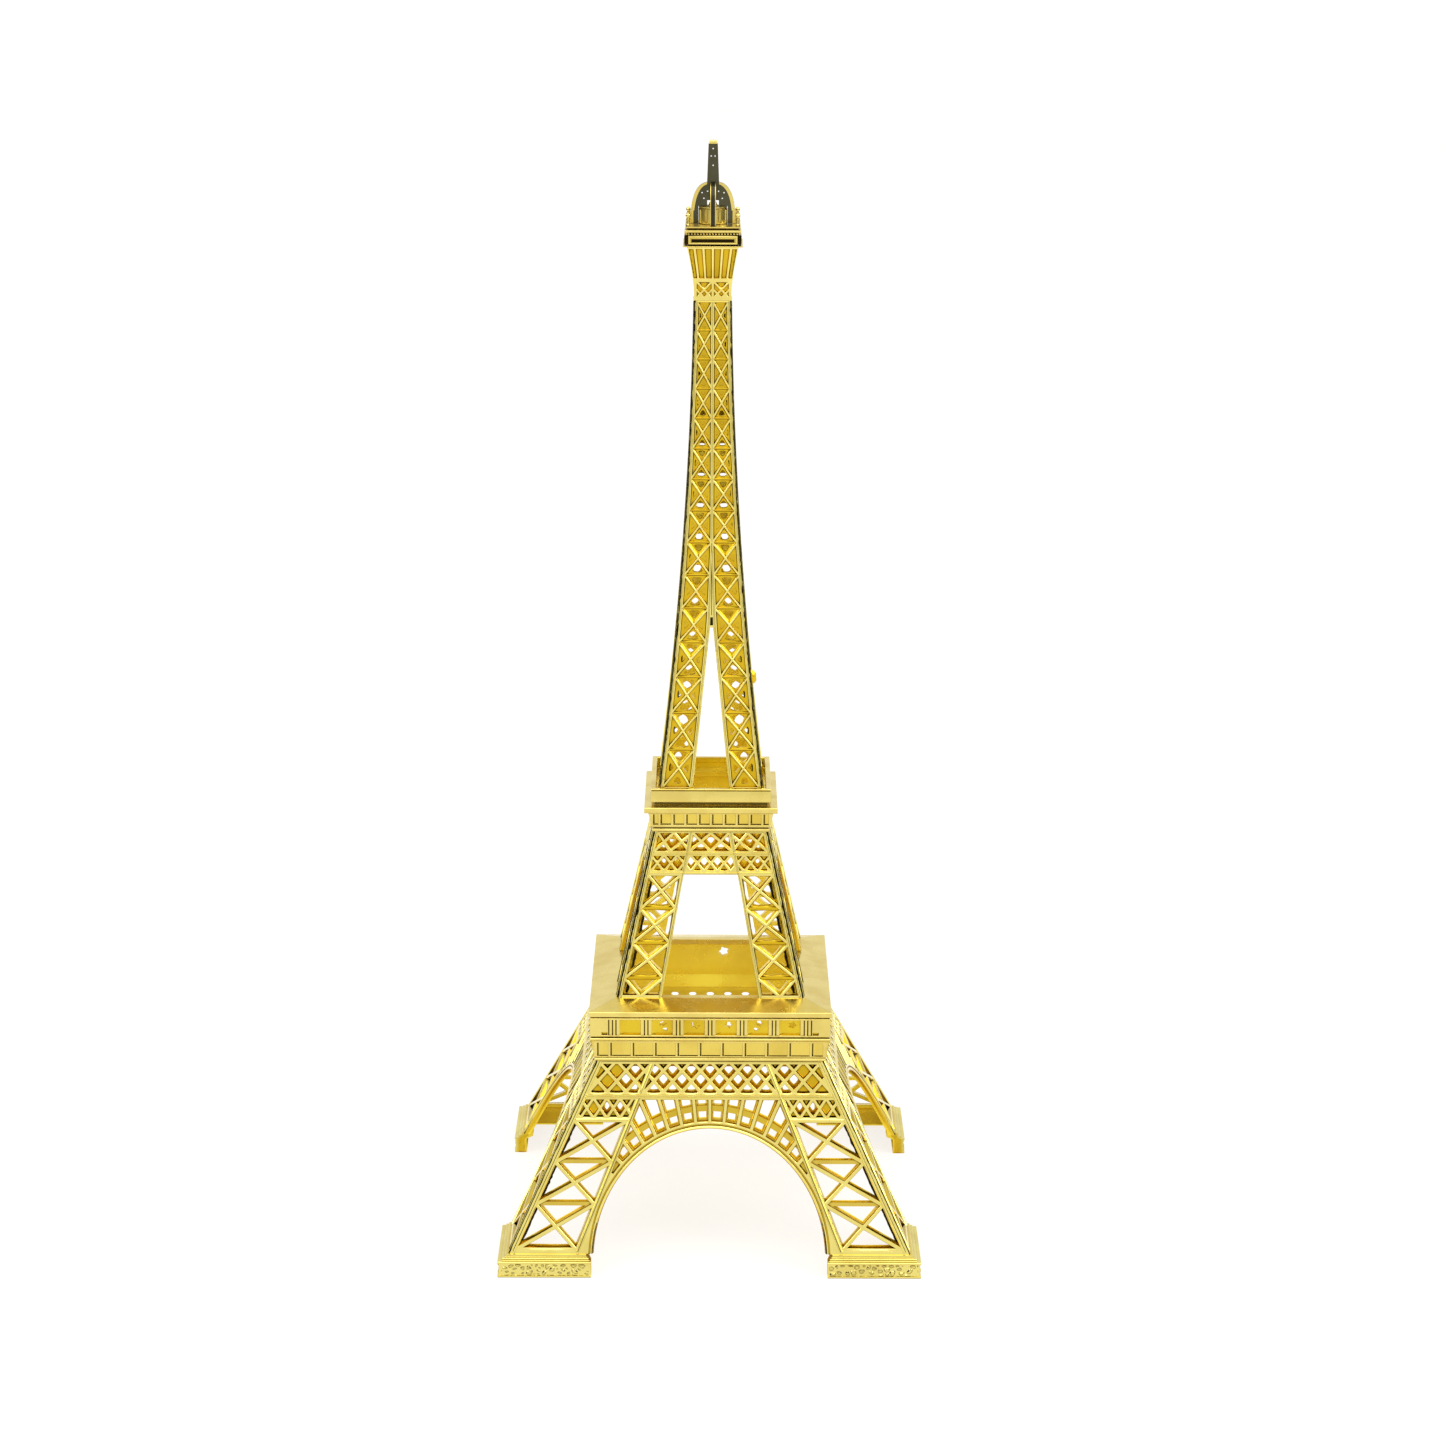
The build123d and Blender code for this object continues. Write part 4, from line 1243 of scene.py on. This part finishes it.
def bracket_pockets():
    """A low row of crosses, and tall flaring recesses between ribs above it."""
    pockets = []
    z0, z1 = 276.0, 280.6
    region = box_cell(0.3, z0, bracket_half(z0) - 0.7, z1)
    middle = (0.3 + bracket_half(z0) - 0.7) / 2
    lines = [
        ((0.3, z0), (bracket_half(z0) - 0.7, z1)), ((bracket_half(z0) - 0.7, z0), (0.3, z1)),
        ((middle, z0), (0.3, (z0 + z1) / 2)), ((middle, z0), (bracket_half(z0) - 0.7, (z0 + z1) / 2)),
    ]
    cells = [cell for cell in split_by_bars(region, lines, 0.2) if usable(cell, 0.2)]
    for cell in both(cells):
        pockets.append(blind_pocket(cell, 0.5, incircle(cell)[1] * 0.45, edge=0.05))
    ribs = (0.0, 2.45, 4.75)
    for inner, outer in zip(ribs, ribs[1:] + (6.6,)):
        foot, head = 281.6, 290.2
        widen0, widen1 = bracket_half(foot) / 6.6, bracket_half(head) / 6.6
        x0, x1 = inner + 0.27, outer - 0.27
        cell = [(x0 * widen0, foot), (x1 * widen0, foot), (x1 * widen1, head), (x0 * widen1, head)]
        for own in (cell, mirrored(cell)):
            rings = [(tall_rim(own, 0.0), 0.0), (tall_rim(own, 0.06), 0.06), (tall_rim(own, 0.32), 0.85)]
            # Painted shade in the recesses, darkest in the middle pair.
            tone = (0.0, 0.2 if inner == 0.0 else 0.06)
            pockets.append({"rings": rings, "through": False, "children": [], "tone": tone})
    return pockets


def tall_rim(cell, inset):
    """A tall cell's outline with extra levels, so that its walls follow the curved face."""
    p0, p1, p2, p3 = [Vector(p) for p in rim(cell, inset, steps=1)]
    low_left, low_right, high_right, high_left = sorted_corners((p0, p1, p2, p3))
    rises = (0.0, 0.28, 0.74, 1.0)
    right = [tuple(low_right.lerp(high_right, t)) for t in rises]
    left = [tuple(low_left.lerp(high_left, t)) for t in rises]
    return right + left[::-1]


def sorted_corners(points):
    low = sorted(points, key=lambda p: p.y)[:2]
    high = sorted(points, key=lambda p: p.y)[2:]
    low.sort(key=lambda p: p.x)
    high.sort(key=lambda p: p.x)
    return low[0], low[1], high[1], high[0]


def top_bracket():
    solid = Solid()
    hole = 3.4
    heights = [z for _, z in BRACKET_SECTION]
    mouths = [pocket["rings"][0][0] for pocket in bracket_pockets()]
    for turn in range(4):
        spin = quarter_turn(turn)

        def place(x, z, depth):
            return spin @ Vector((x, depth - bracket_half(z), z))

        right = [(bracket_half(z), z) for z in heights]
        outline = right + [(-x, z) for x, z in right[::-1]]
        solid.cap(place, outline, mouths, 0.0)
        for pocket in bracket_pockets():
            solid.pocket(place, pocket, unbounded)
        for z in (heights[0], heights[-1]):
            half = bracket_half(z)
            corners = ((-half, -half), (half, -half), (hole, -hole), (-hole, -hole))
            solid.face([solid.vert(spin @ Vector((x, y, z))) for x, y in corners])
        inner = ((-hole, heights[0]), (hole, heights[0]), (hole, heights[-1]), (-hole, heights[-1]))
        # The inner faces take the recess floor's painted shade.
        solid.face([solid.vert(spin @ Vector((x, -hole, z)), 1.0) for x, z in inner])
    return solid


def top_platform():
    """Flange, a block with a framed slot on each side, a row of beads and the lantern's deck."""
    flange, block, beads, deck = BRACKET_TOP + 0.3, 294.0, 294.75, 295.45
    section = [
        (8.3, BRACKET_TOP), (8.5, BRACKET_TOP + 0.1), (8.5, flange), (7.2, flange + 0.05), (7.2, beads),
        (7.9, beads + 0.1), (7.9, deck), (7.3, deck + 0.1), (7.3, deck + 0.6), (7.8, deck + 0.7),
        (7.8, LANTERN_FLOOR),
    ]
    # The core's face behind the side plates and the neck above the deck are painted near-black as shade.
    solid = square_block(section, 0.08, {3: FULL_PAINTED_SHADE, 7: FULL_PAINTED_SHADE})
    plate = box_cell(-7.0, flange + 0.45, 7.0, block)
    outline = [at_depth(rim(plate, 0.1), 0.0), at_depth(rim(plate, 0), 0.1), at_depth(rim(plate, 0), 1.0)]
    slot = sunk_recess(box_cell(-6.1, 292.1, 6.1, 293.1), 0.2, 0.75, 0.05)
    # The slot is painted near-black as the shade in it.
    slot["tone"] = FULL_PAINTED_SHADE
    framed = blind_pocket(box_cell(-6.4, 291.95, 6.4, 293.45), 0.2, 0.08, edge=0.05, children=[slot])
    for turn in range(4):
        spin = quarter_turn(turn)

        def place(x, z, depth):
            return spin @ Vector((x, depth - 8.1, z))

        slab = Solid()
        slab.casting(place, outline, [framed], unbounded)
        # The plates' ends are painted near-black as the shade at the corners.
        for vertex in slab.bm.verts:
            local = spin.inverted() @ vertex.co
            if abs(local.x) > 6.95:
                vertex[slab.painted_shade] = 1.0
        solid.join(slab)
        for k in range(-8, 9):
            dome(solid, spin @ Vector((k * 0.85, -7.35, 294.4)), 0.34)
    return solid


def dome(solid, centre, radius):
    rings = []
    for row in range(1, 6):
        lift = math.pi * row / 6 - math.pi / 2
        ring = []
        for a in angles_round(10):
            out = Vector((math.cos(lift) * math.cos(a), math.cos(lift) * math.sin(a), math.sin(lift)))
            ring.append(centre + radius * out)
        rings.append(ring)
    solid.tube(rings)


def revolved(profile, count=32, centre=(0, 0), flutes=0, flute_depth=0.0):
    """Rings of a turned body from (radius, z, flute share) points."""
    rings = []
    for radius, z, share in profile:
        ring = []
        for angle in angles_round(count):
            hollow = max(0.0, math.cos(flutes * angle)) if flutes else 0.0
            reach = radius - flute_depth * share * hollow
            ring.append(Vector((centre[0] + reach * math.cos(angle), centre[1] + reach * math.sin(angle), z)))
        rings.append(ring)
    return rings


def lantern_drum():
    solid = Solid()
    profile = (
        (4.0, 296.6, 0), (4.1, 296.7, 0), (4.1, 296.9, 0), (4.1, 297.0, 1), (4.1, 300.5, 1), (4.1, 300.6, 0),
        (4.1, 300.8, 0), (3.85, 300.85, 0), (3.85, 301.0, 0), (4.05, 301.1, 0), (4.05, 301.3, 0),
        (3.9, DRUM_TOP, 0),
    )
    solid.tube(revolved(profile, 144, flutes=12, flute_depth=0.5))
    return solid


def finial():
    solid = Solid()
    seat = DRUM_TOP + 0.4
    profile = [(1.5, DRUM_TOP, 0), (1.6, DRUM_TOP + 0.1, 0), (1.6, seat - 0.1, 0), (1.45, seat, 0)]
    profile += [(1.2 * math.cos(t), seat + 1.2 * math.sin(t), 0) for t in (0.0, 0.3, 0.6, 0.9, 1.2, 1.45)]
    solid.tube(revolved(profile, 32))
    return solid


def corner_posts():
    solid = Solid()
    for x in (-7.0, 7.0):
        for y in (-7.0, 7.0):
            profile = [
                (0.65, 296.6, 0), (0.65, 297.1, 0), (0.45, 297.3, 0), (0.42, 298.2, 0), (0.6, 298.35, 0),
                (0.6, 298.6, 0), (0.4, 298.75, 0), (0.4, 299.0, 0),
            ]
            rises = (-0.8, -0.4, 0, 0.4, 0.8, 1.2, 1.45)
            profile += [(0.7 * math.cos(t), 299.6 + 0.7 * math.sin(t), 0) for t in rises]
            solid.tube(revolved(profile, 16, (x, y)))
    return solid


DRUM_TOP = 301.4
SPIRE_SPRING = 300.2
SPIRE_WEB = DRUM_TOP + 0.05
SPIRE_WEB_NOTCH = 303.1
SPIRE_HALVING = 306.0
SPIRE_NOTCH_HALF = 1.65
SPIRE_FOOT_INNER = 4.15
SPIRE_CROWN = 308.2
SPIRE_HALF_THICK = 0.6
MAST_FOOT_HALF = 1.7
MAST_TOP_HALF = 1.3


def spire_shoulder(inset):
    """Right half of a plate's outer edge, from the foot to the crown."""
    foot = 6.5 - inset
    start = Vector((foot - 0.25, SPIRE_SPRING + 0.05))
    control = Vector((5.6 - inset, SPIRE_CROWN - 0.6 - inset))
    end = Vector((MAST_FOOT_HALF, SPIRE_CROWN - inset * 0.6))
    points = [(foot, LANTERN_FLOOR), (foot, SPIRE_SPRING), tuple(start)]
    for k in range(1, 13):
        t = k / 12
        points.append(tuple(start * (1 - t)**2 + control * 2 * t * (1 - t) + end * t**2))
    return points


def spire_plate(turn, has_mast):
    """A flat plate painted near-black as shade, with gold rims, halved crosswise into the other plate."""
    solid = Solid()
    spin = quarter_turn(turn)
    slot = SPIRE_HALF_THICK + 0.01

    def place(x, z, depth):
        return spin @ Vector((x, depth - SPIRE_HALF_THICK, z))

    right = [
        (SPIRE_NOTCH_HALF, SPIRE_WEB_NOTCH), (SPIRE_NOTCH_HALF, SPIRE_WEB), (SPIRE_FOOT_INNER, SPIRE_WEB),
        (SPIRE_FOOT_INNER, LANTERN_FLOOR),
    ] + spire_shoulder(0.0)
    if has_mast:
        right = [(slot, SPIRE_HALVING), (slot, SPIRE_WEB_NOTCH)] + right + [(MAST_TOP_HALF, MAST_TOP)]
    else:
        right += [(slot, right[-1][1]), (slot, SPIRE_HALVING)]
    loop = right + [(-x, z) for x, z in reversed(right)]
    holes = spire_perforations(has_mast)
    thick = 2 * SPIRE_HALF_THICK
    for depth in (0.0, thick):
        solid.cap(place, loop, holes, depth, 1)
    for ring in [loop] + holes:
        solid.wall(place, at_depth(ring, 0.0), at_depth(ring, thick), 1)
    for side in (-1, 1):
        spire_rim(solid, place, side, 0.0, -1)
        spire_rim(solid, place, side, thick, 1)
    return solid


def spire_perforations(has_mast):
    spots = [(x * side, z) for x, z in ((3.1, 305.2), (1.55, 305.6), (2.6, 303.6)) for side in (-1, 1)]
    if has_mast:
        spots += [(0, 317.6), (-0.55, 315.5), (0.55, 315.5), (0, 312.9)]
    radius = 0.22
    return [
        [(x + radius * math.cos(a), z + radius * math.sin(a)) for a in angles_round(10)] for x, z in spots
    ]


def spire_rim(solid, place, side, face_depth, outward):
    """Gold moulding along the foot and shoulder of a plate, proud of its face."""
    proud, sunk, width = 0.18, 0.2, 0.95
    near = face_depth + outward * proud
    far = face_depth - outward * sunk
    rings = []
    for (x0, z0), (x1, z1) in zip(spire_shoulder(0.02), spire_shoulder(width)):
        rings.append([place(side * x0, z0, far), place(side * x0, z0, near),
                      place(side * x1, z1, near), place(side * x1, z1, far)])
    solid.tube(rings)


def mast_cap():
    section = [(1.0, MAST_TOP), (1.1, MAST_TOP + 0.12), (1.1, MAST_TOP + 0.7), (0.9, TOWER_TOP)]
    return square_block(section, ease=0.06)


# ---------------------------------------------------------------- solder


def corner_seams(half, wall, low, high, width, seed):
    """Rough solder in the four outer corner grooves, and the beads inside them."""
    solid = Solid()
    for corner in range(4):
        spin = quarter_turn(corner)
        for inner in (False, True):
            rings = []
            for z in levels(low, high, SEAM_STEP):
                rough = noise.noise(Vector((z * 1.9, corner * 5.1 + seed, 3.0 if inner else 8.0)))
                crust = noise.noise(Vector((z * 0.6, corner * 9.7 + seed, 1.0)))
                if inner:
                    centre = half(z) - wall - 0.15
                    reach = 0.75 * (1 + 0.3 * rough + 0.2 * crust)
                else:
                    centre = half(z) - width * 1.25
                    reach = width * (0.72 + 0.4 * rough + 0.25 * crust)
                ring = []
                for k, angle in enumerate(angles_round(8)):
                    wobble = 1 + 0.25 * noise.noise(Vector((z * 1.3, k * 2.7, corner + seed)))
                    x = centre + reach * wobble * math.cos(angle)
                    y = -centre + reach * wobble * math.sin(angle)
                    ring.append(spin @ Vector((min(x, half(z)), max(y, -half(z)), z)))
                rings.append(ring)
            solid.tube(rings, 0.6)
    return solid


# ---------------------------------------------------------------- materials


def node(tree, kind, inputs=None, **settings):
    """A new shader node; each input takes a value, or the socket that feeds it."""
    made = tree.nodes.new("ShaderNode" + kind)
    for name, value in settings.items():
        setattr(made, name, value)
    for name, value in (inputs or {}).items():
        if isinstance(value, bpy.types.NodeSocket):
            tree.links.new(value, made.inputs[name])
        else:
            made.inputs[name].default_value = value
    return made


def remap(tree, value, low, high, to_low, to_high):
    limits = {"From Min": low, "From Max": high, "To Min": to_low, "To Max": to_high}
    return node(tree, "MapRange", {"Value": value, **limits}).outputs["Result"]


def mixed(tree, factor, a, b, blend="MIX"):
    inputs = {"Factor": factor, "A": a, "B": b}
    return node(tree, "Mix", inputs, data_type="RGBA", blend_type=blend).outputs["Result"]


def colour_ramp(tree, factor, stops):
    made = node(tree, "ValToRGB", {"Fac": factor})
    elements = made.color_ramp.elements
    for end in (0, -1):
        position, colour = stops[end]
        elements[end].position = position
        elements[end].color = (*colour, 1)
    for position, colour in stops[1:-1]:
        elements.new(position).color = (*colour, 1)
    return made.outputs["Color"]


def surface_value(tree, layer):
    """A value stored at the points of the mesh."""
    return node(tree, "Attribute", attribute_name=layer).outputs["Fac"]


def link_noise(tree, scale, detail, stretch=None):
    """A noise texture over the object's own coordinates."""
    source = node(tree, "TexCoord").outputs["Object"]
    if stretch:
        source = node(tree, "Mapping", {"Vector": source, "Scale": stretch}).outputs["Vector"]
    return node(tree, "TexNoise", {"Vector": source, "Scale": scale, "Detail": detail}).outputs["Fac"]


def gold_material(name, base, floor, inside, worn, roughness, waves, grain, stretch=None):
    """Electroplated gold with cast waves and fine grain. Its colour by depth is painted shade and light:
    darker and more orange on recess floors, brighter deep inside; crevices get painted shade too.
    """
    material = bpy.data.materials.new(name)
    material.use_nodes = True
    tree = material.node_tree
    shader = tree.nodes["Principled BSDF"]

    def feed(socket, source):
        tree.links.new(source, shader.inputs[socket])

    recess = surface_value(tree, "recess")
    feed("Metallic", remap(tree, recess, 0.8, 2.0, 1.0, 0.3))
    # Recess tint: painted shade on recess floors, painted light deep inside, where little light reaches.
    stops = ((0.0, base), (0.2, floor), (0.5, floor), (0.65, inside))
    tint = colour_ramp(tree, remap(tree, recess, 0.0, 2.4, 0.0, 1.0), stops)

    clouds = link_noise(tree, 110.0, 5.0)
    tones = colour_ramp(tree, clouds, ((0.36, worn), (0.56, (1, 1, 1))))
    varied = mixed(tree, 0.6, tint, tones, "MULTIPLY")

    # Painted shade in crevices: colour darkened where ambient occlusion finds surfaces close by, fading out
    # deep inside.
    crevice = node(tree, "AmbientOcclusion", {"Distance": 0.0009}, samples=6).outputs["AO"]
    crevice_shade = node(tree, "Math", operation="MULTIPLY")
    tree.links.new(remap(tree, crevice, 0.25, 0.75, 0.85, 0.0), crevice_shade.inputs[0])
    tree.links.new(remap(tree, recess, 0.72, 0.95, 1.0, 0.0), crevice_shade.inputs[1])
    crevice_shaded = mixed(tree, crevice_shade.outputs["Value"], varied, (0.25, 0.19, 0.05, 1), "MULTIPLY")
    # Near-black painted shade, as much as each point's share asks for.
    feed("Base Color", mixed(tree, surface_value(tree, "painted_shade"), crevice_shaded, (0.02, 0.013, 0.004, 1)))
    feed("Roughness", remap(tree, clouds, 0.3, 0.7, roughness * 1.5, roughness * 0.7))

    wave_height = link_noise(tree, 330.0, 2.0)
    wave_bump = node(tree, "Bump", {"Strength": 1.0, "Distance": waves, "Height": wave_height})
    grain_height = link_noise(tree, 2600.0, 3.0, stretch)
    grain_bump = node(tree, "Bump", {
        "Strength": 1.0, "Distance": grain, "Height": grain_height, "Normal": wave_bump.outputs["Normal"],
    })
    feed("Normal", grain_bump.outputs["Normal"])
    return material


def make_materials():
    floor = (0.70, 0.47, 0.02)
    inside = (0.96, 0.77, 0.055)
    pale = (0.85, 0.8, 0.68)
    crust = (0.03, 0.02, 0.006)
    shade = (0.05, 0.045, 0.03)
    return {
        "cast": gold_material("cast_gold", (0.86, 0.735, 0.215), floor, inside, pale, 0.15, 8e-5, 1e-5),
        "platform": gold_material(
            "platform_gold", (0.765, 0.622, 0.178), (0.74, 0.53, 0.03), inside, pale,
            0.25, 4e-5, 1e-5, (1, 1, 4)),
        "solder": gold_material(
            "dark_solder", (0.10, 0.075, 0.02), crust, crust, (0.4, 0.35, 0.25), 0.5, 2e-4, 4e-5),
        # The spire plates' near-black colour is painted shade.
        "spire": gold_material(
            "spire_painted_shade", (0.09, 0.085, 0.05), shade, shade, (0.7, 0.7, 0.6), 0.18, 5e-5, 1e-5),
    }


# ---------------------------------------------------------------- scene


def show(solid, name, node_name, slot, materials, turn=0):
    piece = solid.piece(name, materials, turn)
    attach(piece, "root")
    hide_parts(node_name)


def build():
    looks = make_materials()
    cast, plain, dark, solder = looks["cast"], looks["platform"], looks["spire"], looks["solder"]
    slots = {cast: "plated_casting", plain: "plated_platform", solder: "solder"}
    for turn, side in enumerate(SIDES):
        walls = (
            (base_casting(turn + 1), "base_casting", "base_panel", cast),
            (gallery_casting(VOIDS.get(side, ())), "gallery_casting", "gallery", plain),
            (middle_casting(turn + 11), "middle_casting", "middle_panel", cast),
            (platform_casting(), "platform_casting", "platform", plain),
            (upper_casting(turn + 21, side == "right"), "upper_casting", "upper_panel", cast),
        )
        for solid, name, panel, look in walls:
            show(solid, f"{name}_{side}", f"{panel}_{side}", slots[look], [look], turn)
    top_pieces = (
        (top_bracket(), "top_bracket_casting", "top_bracket", cast),
        (top_platform(), "top_platform_casting", "top_platform", plain),
        (lantern_drum(), "drum", "lantern_drum", plain),
        (finial(), "finial", "lantern_finial", plain),
        (corner_posts(), "corner_posts", "lantern_corner_posts", plain),
    )
    for solid, name, part, look in top_pieces:
        show(solid, name, part, slots[look], [look])
    for turn, side in enumerate(("front", "side")):
        plate = spire_plate(turn, side == "front")
        show(plate, f"{side}_spire_plate", f"spire_plate_{side}", "spire_plate", [plain, dark])
    show(mast_cap(), "cap", "mast_cap", slots[plain], [plain])
    seams = (
        ("base", base_half, BASE_WALL, PEDESTAL_TOP, BASE_TOP, 0.24, 3),
        ("middle", middle_half, MIDDLE_WALL, ROOF_RIDGE, MIDDLE_TOP, 0.45, 5),
        ("upper", upper_half, UPPER_WALL, DECK_TOP, UPPER_TOP, 0.28, 8),
    )
    for tier, *shape in seams:
        show(corner_seams(*shape), f"{tier}_seams", f"{tier}_solder", slots[solder], [solder])


def studio():
    """Pale floor and backdrop, soft lights, and the camera at the object's usual view."""
    _, paint = sheet("floor", level_square(8.0, 0), (0.18, 0.178, 0.174))
    paint.inputs["Emission Color"].default_value = (1, 0.985, 0.965, 1)
    paint.inputs["Emission Strength"].default_value = 0.8

    world = bpy.data.worlds.new("studio_world")
    bpy.context.scene.world = world
    world.use_nodes = True
    backdrop = world.node_tree.nodes["Background"]
    backdrop.inputs["Color"].default_value = (1, 0.99, 0.97, 1)
    backdrop.inputs["Strength"].default_value = 1.0

    area_light("left_softbox", (-0.9, -0.5, 1.0), 6.0, 0.8)
    area_light("right_softbox", (1.0, -0.4, 0.9), 9.0, 0.8)
    area_light("top_softbox", (0.0, -0.35, 1.1), 4.0, 0.9)
    card("left_card", upright(-0.75, 0.5), (0.02, 0.02, 0.02))
    card("right_card", upright(0.75, 0.4), (0.04, 0.04, 0.04))
    # A warm sheet under the tower, seen only in reflections: painted shade of the floor beneath it, tinted as
    # the tower's own gold reflected there.
    card("under_card", level_square(0.06, 0.0004), (0.45, 0.28, 0.06))
    place_camera()
    bpy.context.scene.view_settings.view_transform = "Standard"


def level_square(half, z):
    return [(-half, -half, z), (half, -half, z), (half, half, z), (-half, half, z)]


def upright(x, height):
    """Corners of a card that stands beside the object, from well in front to behind it."""
    front, behind = -1.3, 1.0
    return [(x, front, 0), (x, behind, 0), (x, behind, height), (x, front, height)]


def sheet(name, corners, shade):
    """One flat painted face of the studio, and the shader of its paint."""
    mesh = bpy.data.meshes.new(name)
    mesh.from_pydata(corners, [], [(0, 1, 2, 3)])
    thing = bpy.data.objects.new(name, mesh)
    bpy.context.collection.objects.link(thing)
    paint = bpy.data.materials.new(name + "_paint")
    paint.use_nodes = True
    shader = paint.node_tree.nodes["Principled BSDF"]
    shader.inputs["Base Color"].default_value = (*shade, 1)
    shader.inputs["Roughness"].default_value = 0.9
    mesh.materials.append(paint)
    return thing, shader


def card(name, corners, shade):
    """A card that only reflections see, in a dark shade."""
    thing, _ = sheet(name, corners, shade)
    thing.visible_camera = False
    thing.visible_diffuse = False
    thing.visible_shadow = False


def place_camera():
    """Camera above the first platform's level, tilted down, as the object is usually shown."""
    data = bpy.data.cameras.new("camera")
    data.sensor_width = 36.0
    data.lens = 90.36
    camera = bpy.data.objects.new("camera", data)
    bpy.context.collection.objects.link(camera)
    camera.location = (0, -1.0285, 0.4338)
    pitch = math.radians(90 - 15.44)
    turn = Matrix.Rotation(math.radians(-0.185), 4, "Z") @ Matrix.Rotation(pitch, 4, "X")
    camera.rotation_euler = (turn @ Matrix.Rotation(math.radians(0.25), 4, "Z")).to_euler()
    bpy.context.scene.camera = camera


def area_light(name, place, power, size):
    data = bpy.data.lights.new(name, "AREA")
    data.energy = power
    data.size = size
    light = bpy.data.objects.new(name, data)
    light.location = place
    aim = Vector((0, 0, 0.15)) - Vector(place)
    light.rotation_euler = aim.to_track_quat("-Z", "Y").to_euler()
    bpy.context.collection.objects.link(light)


studio()
build()
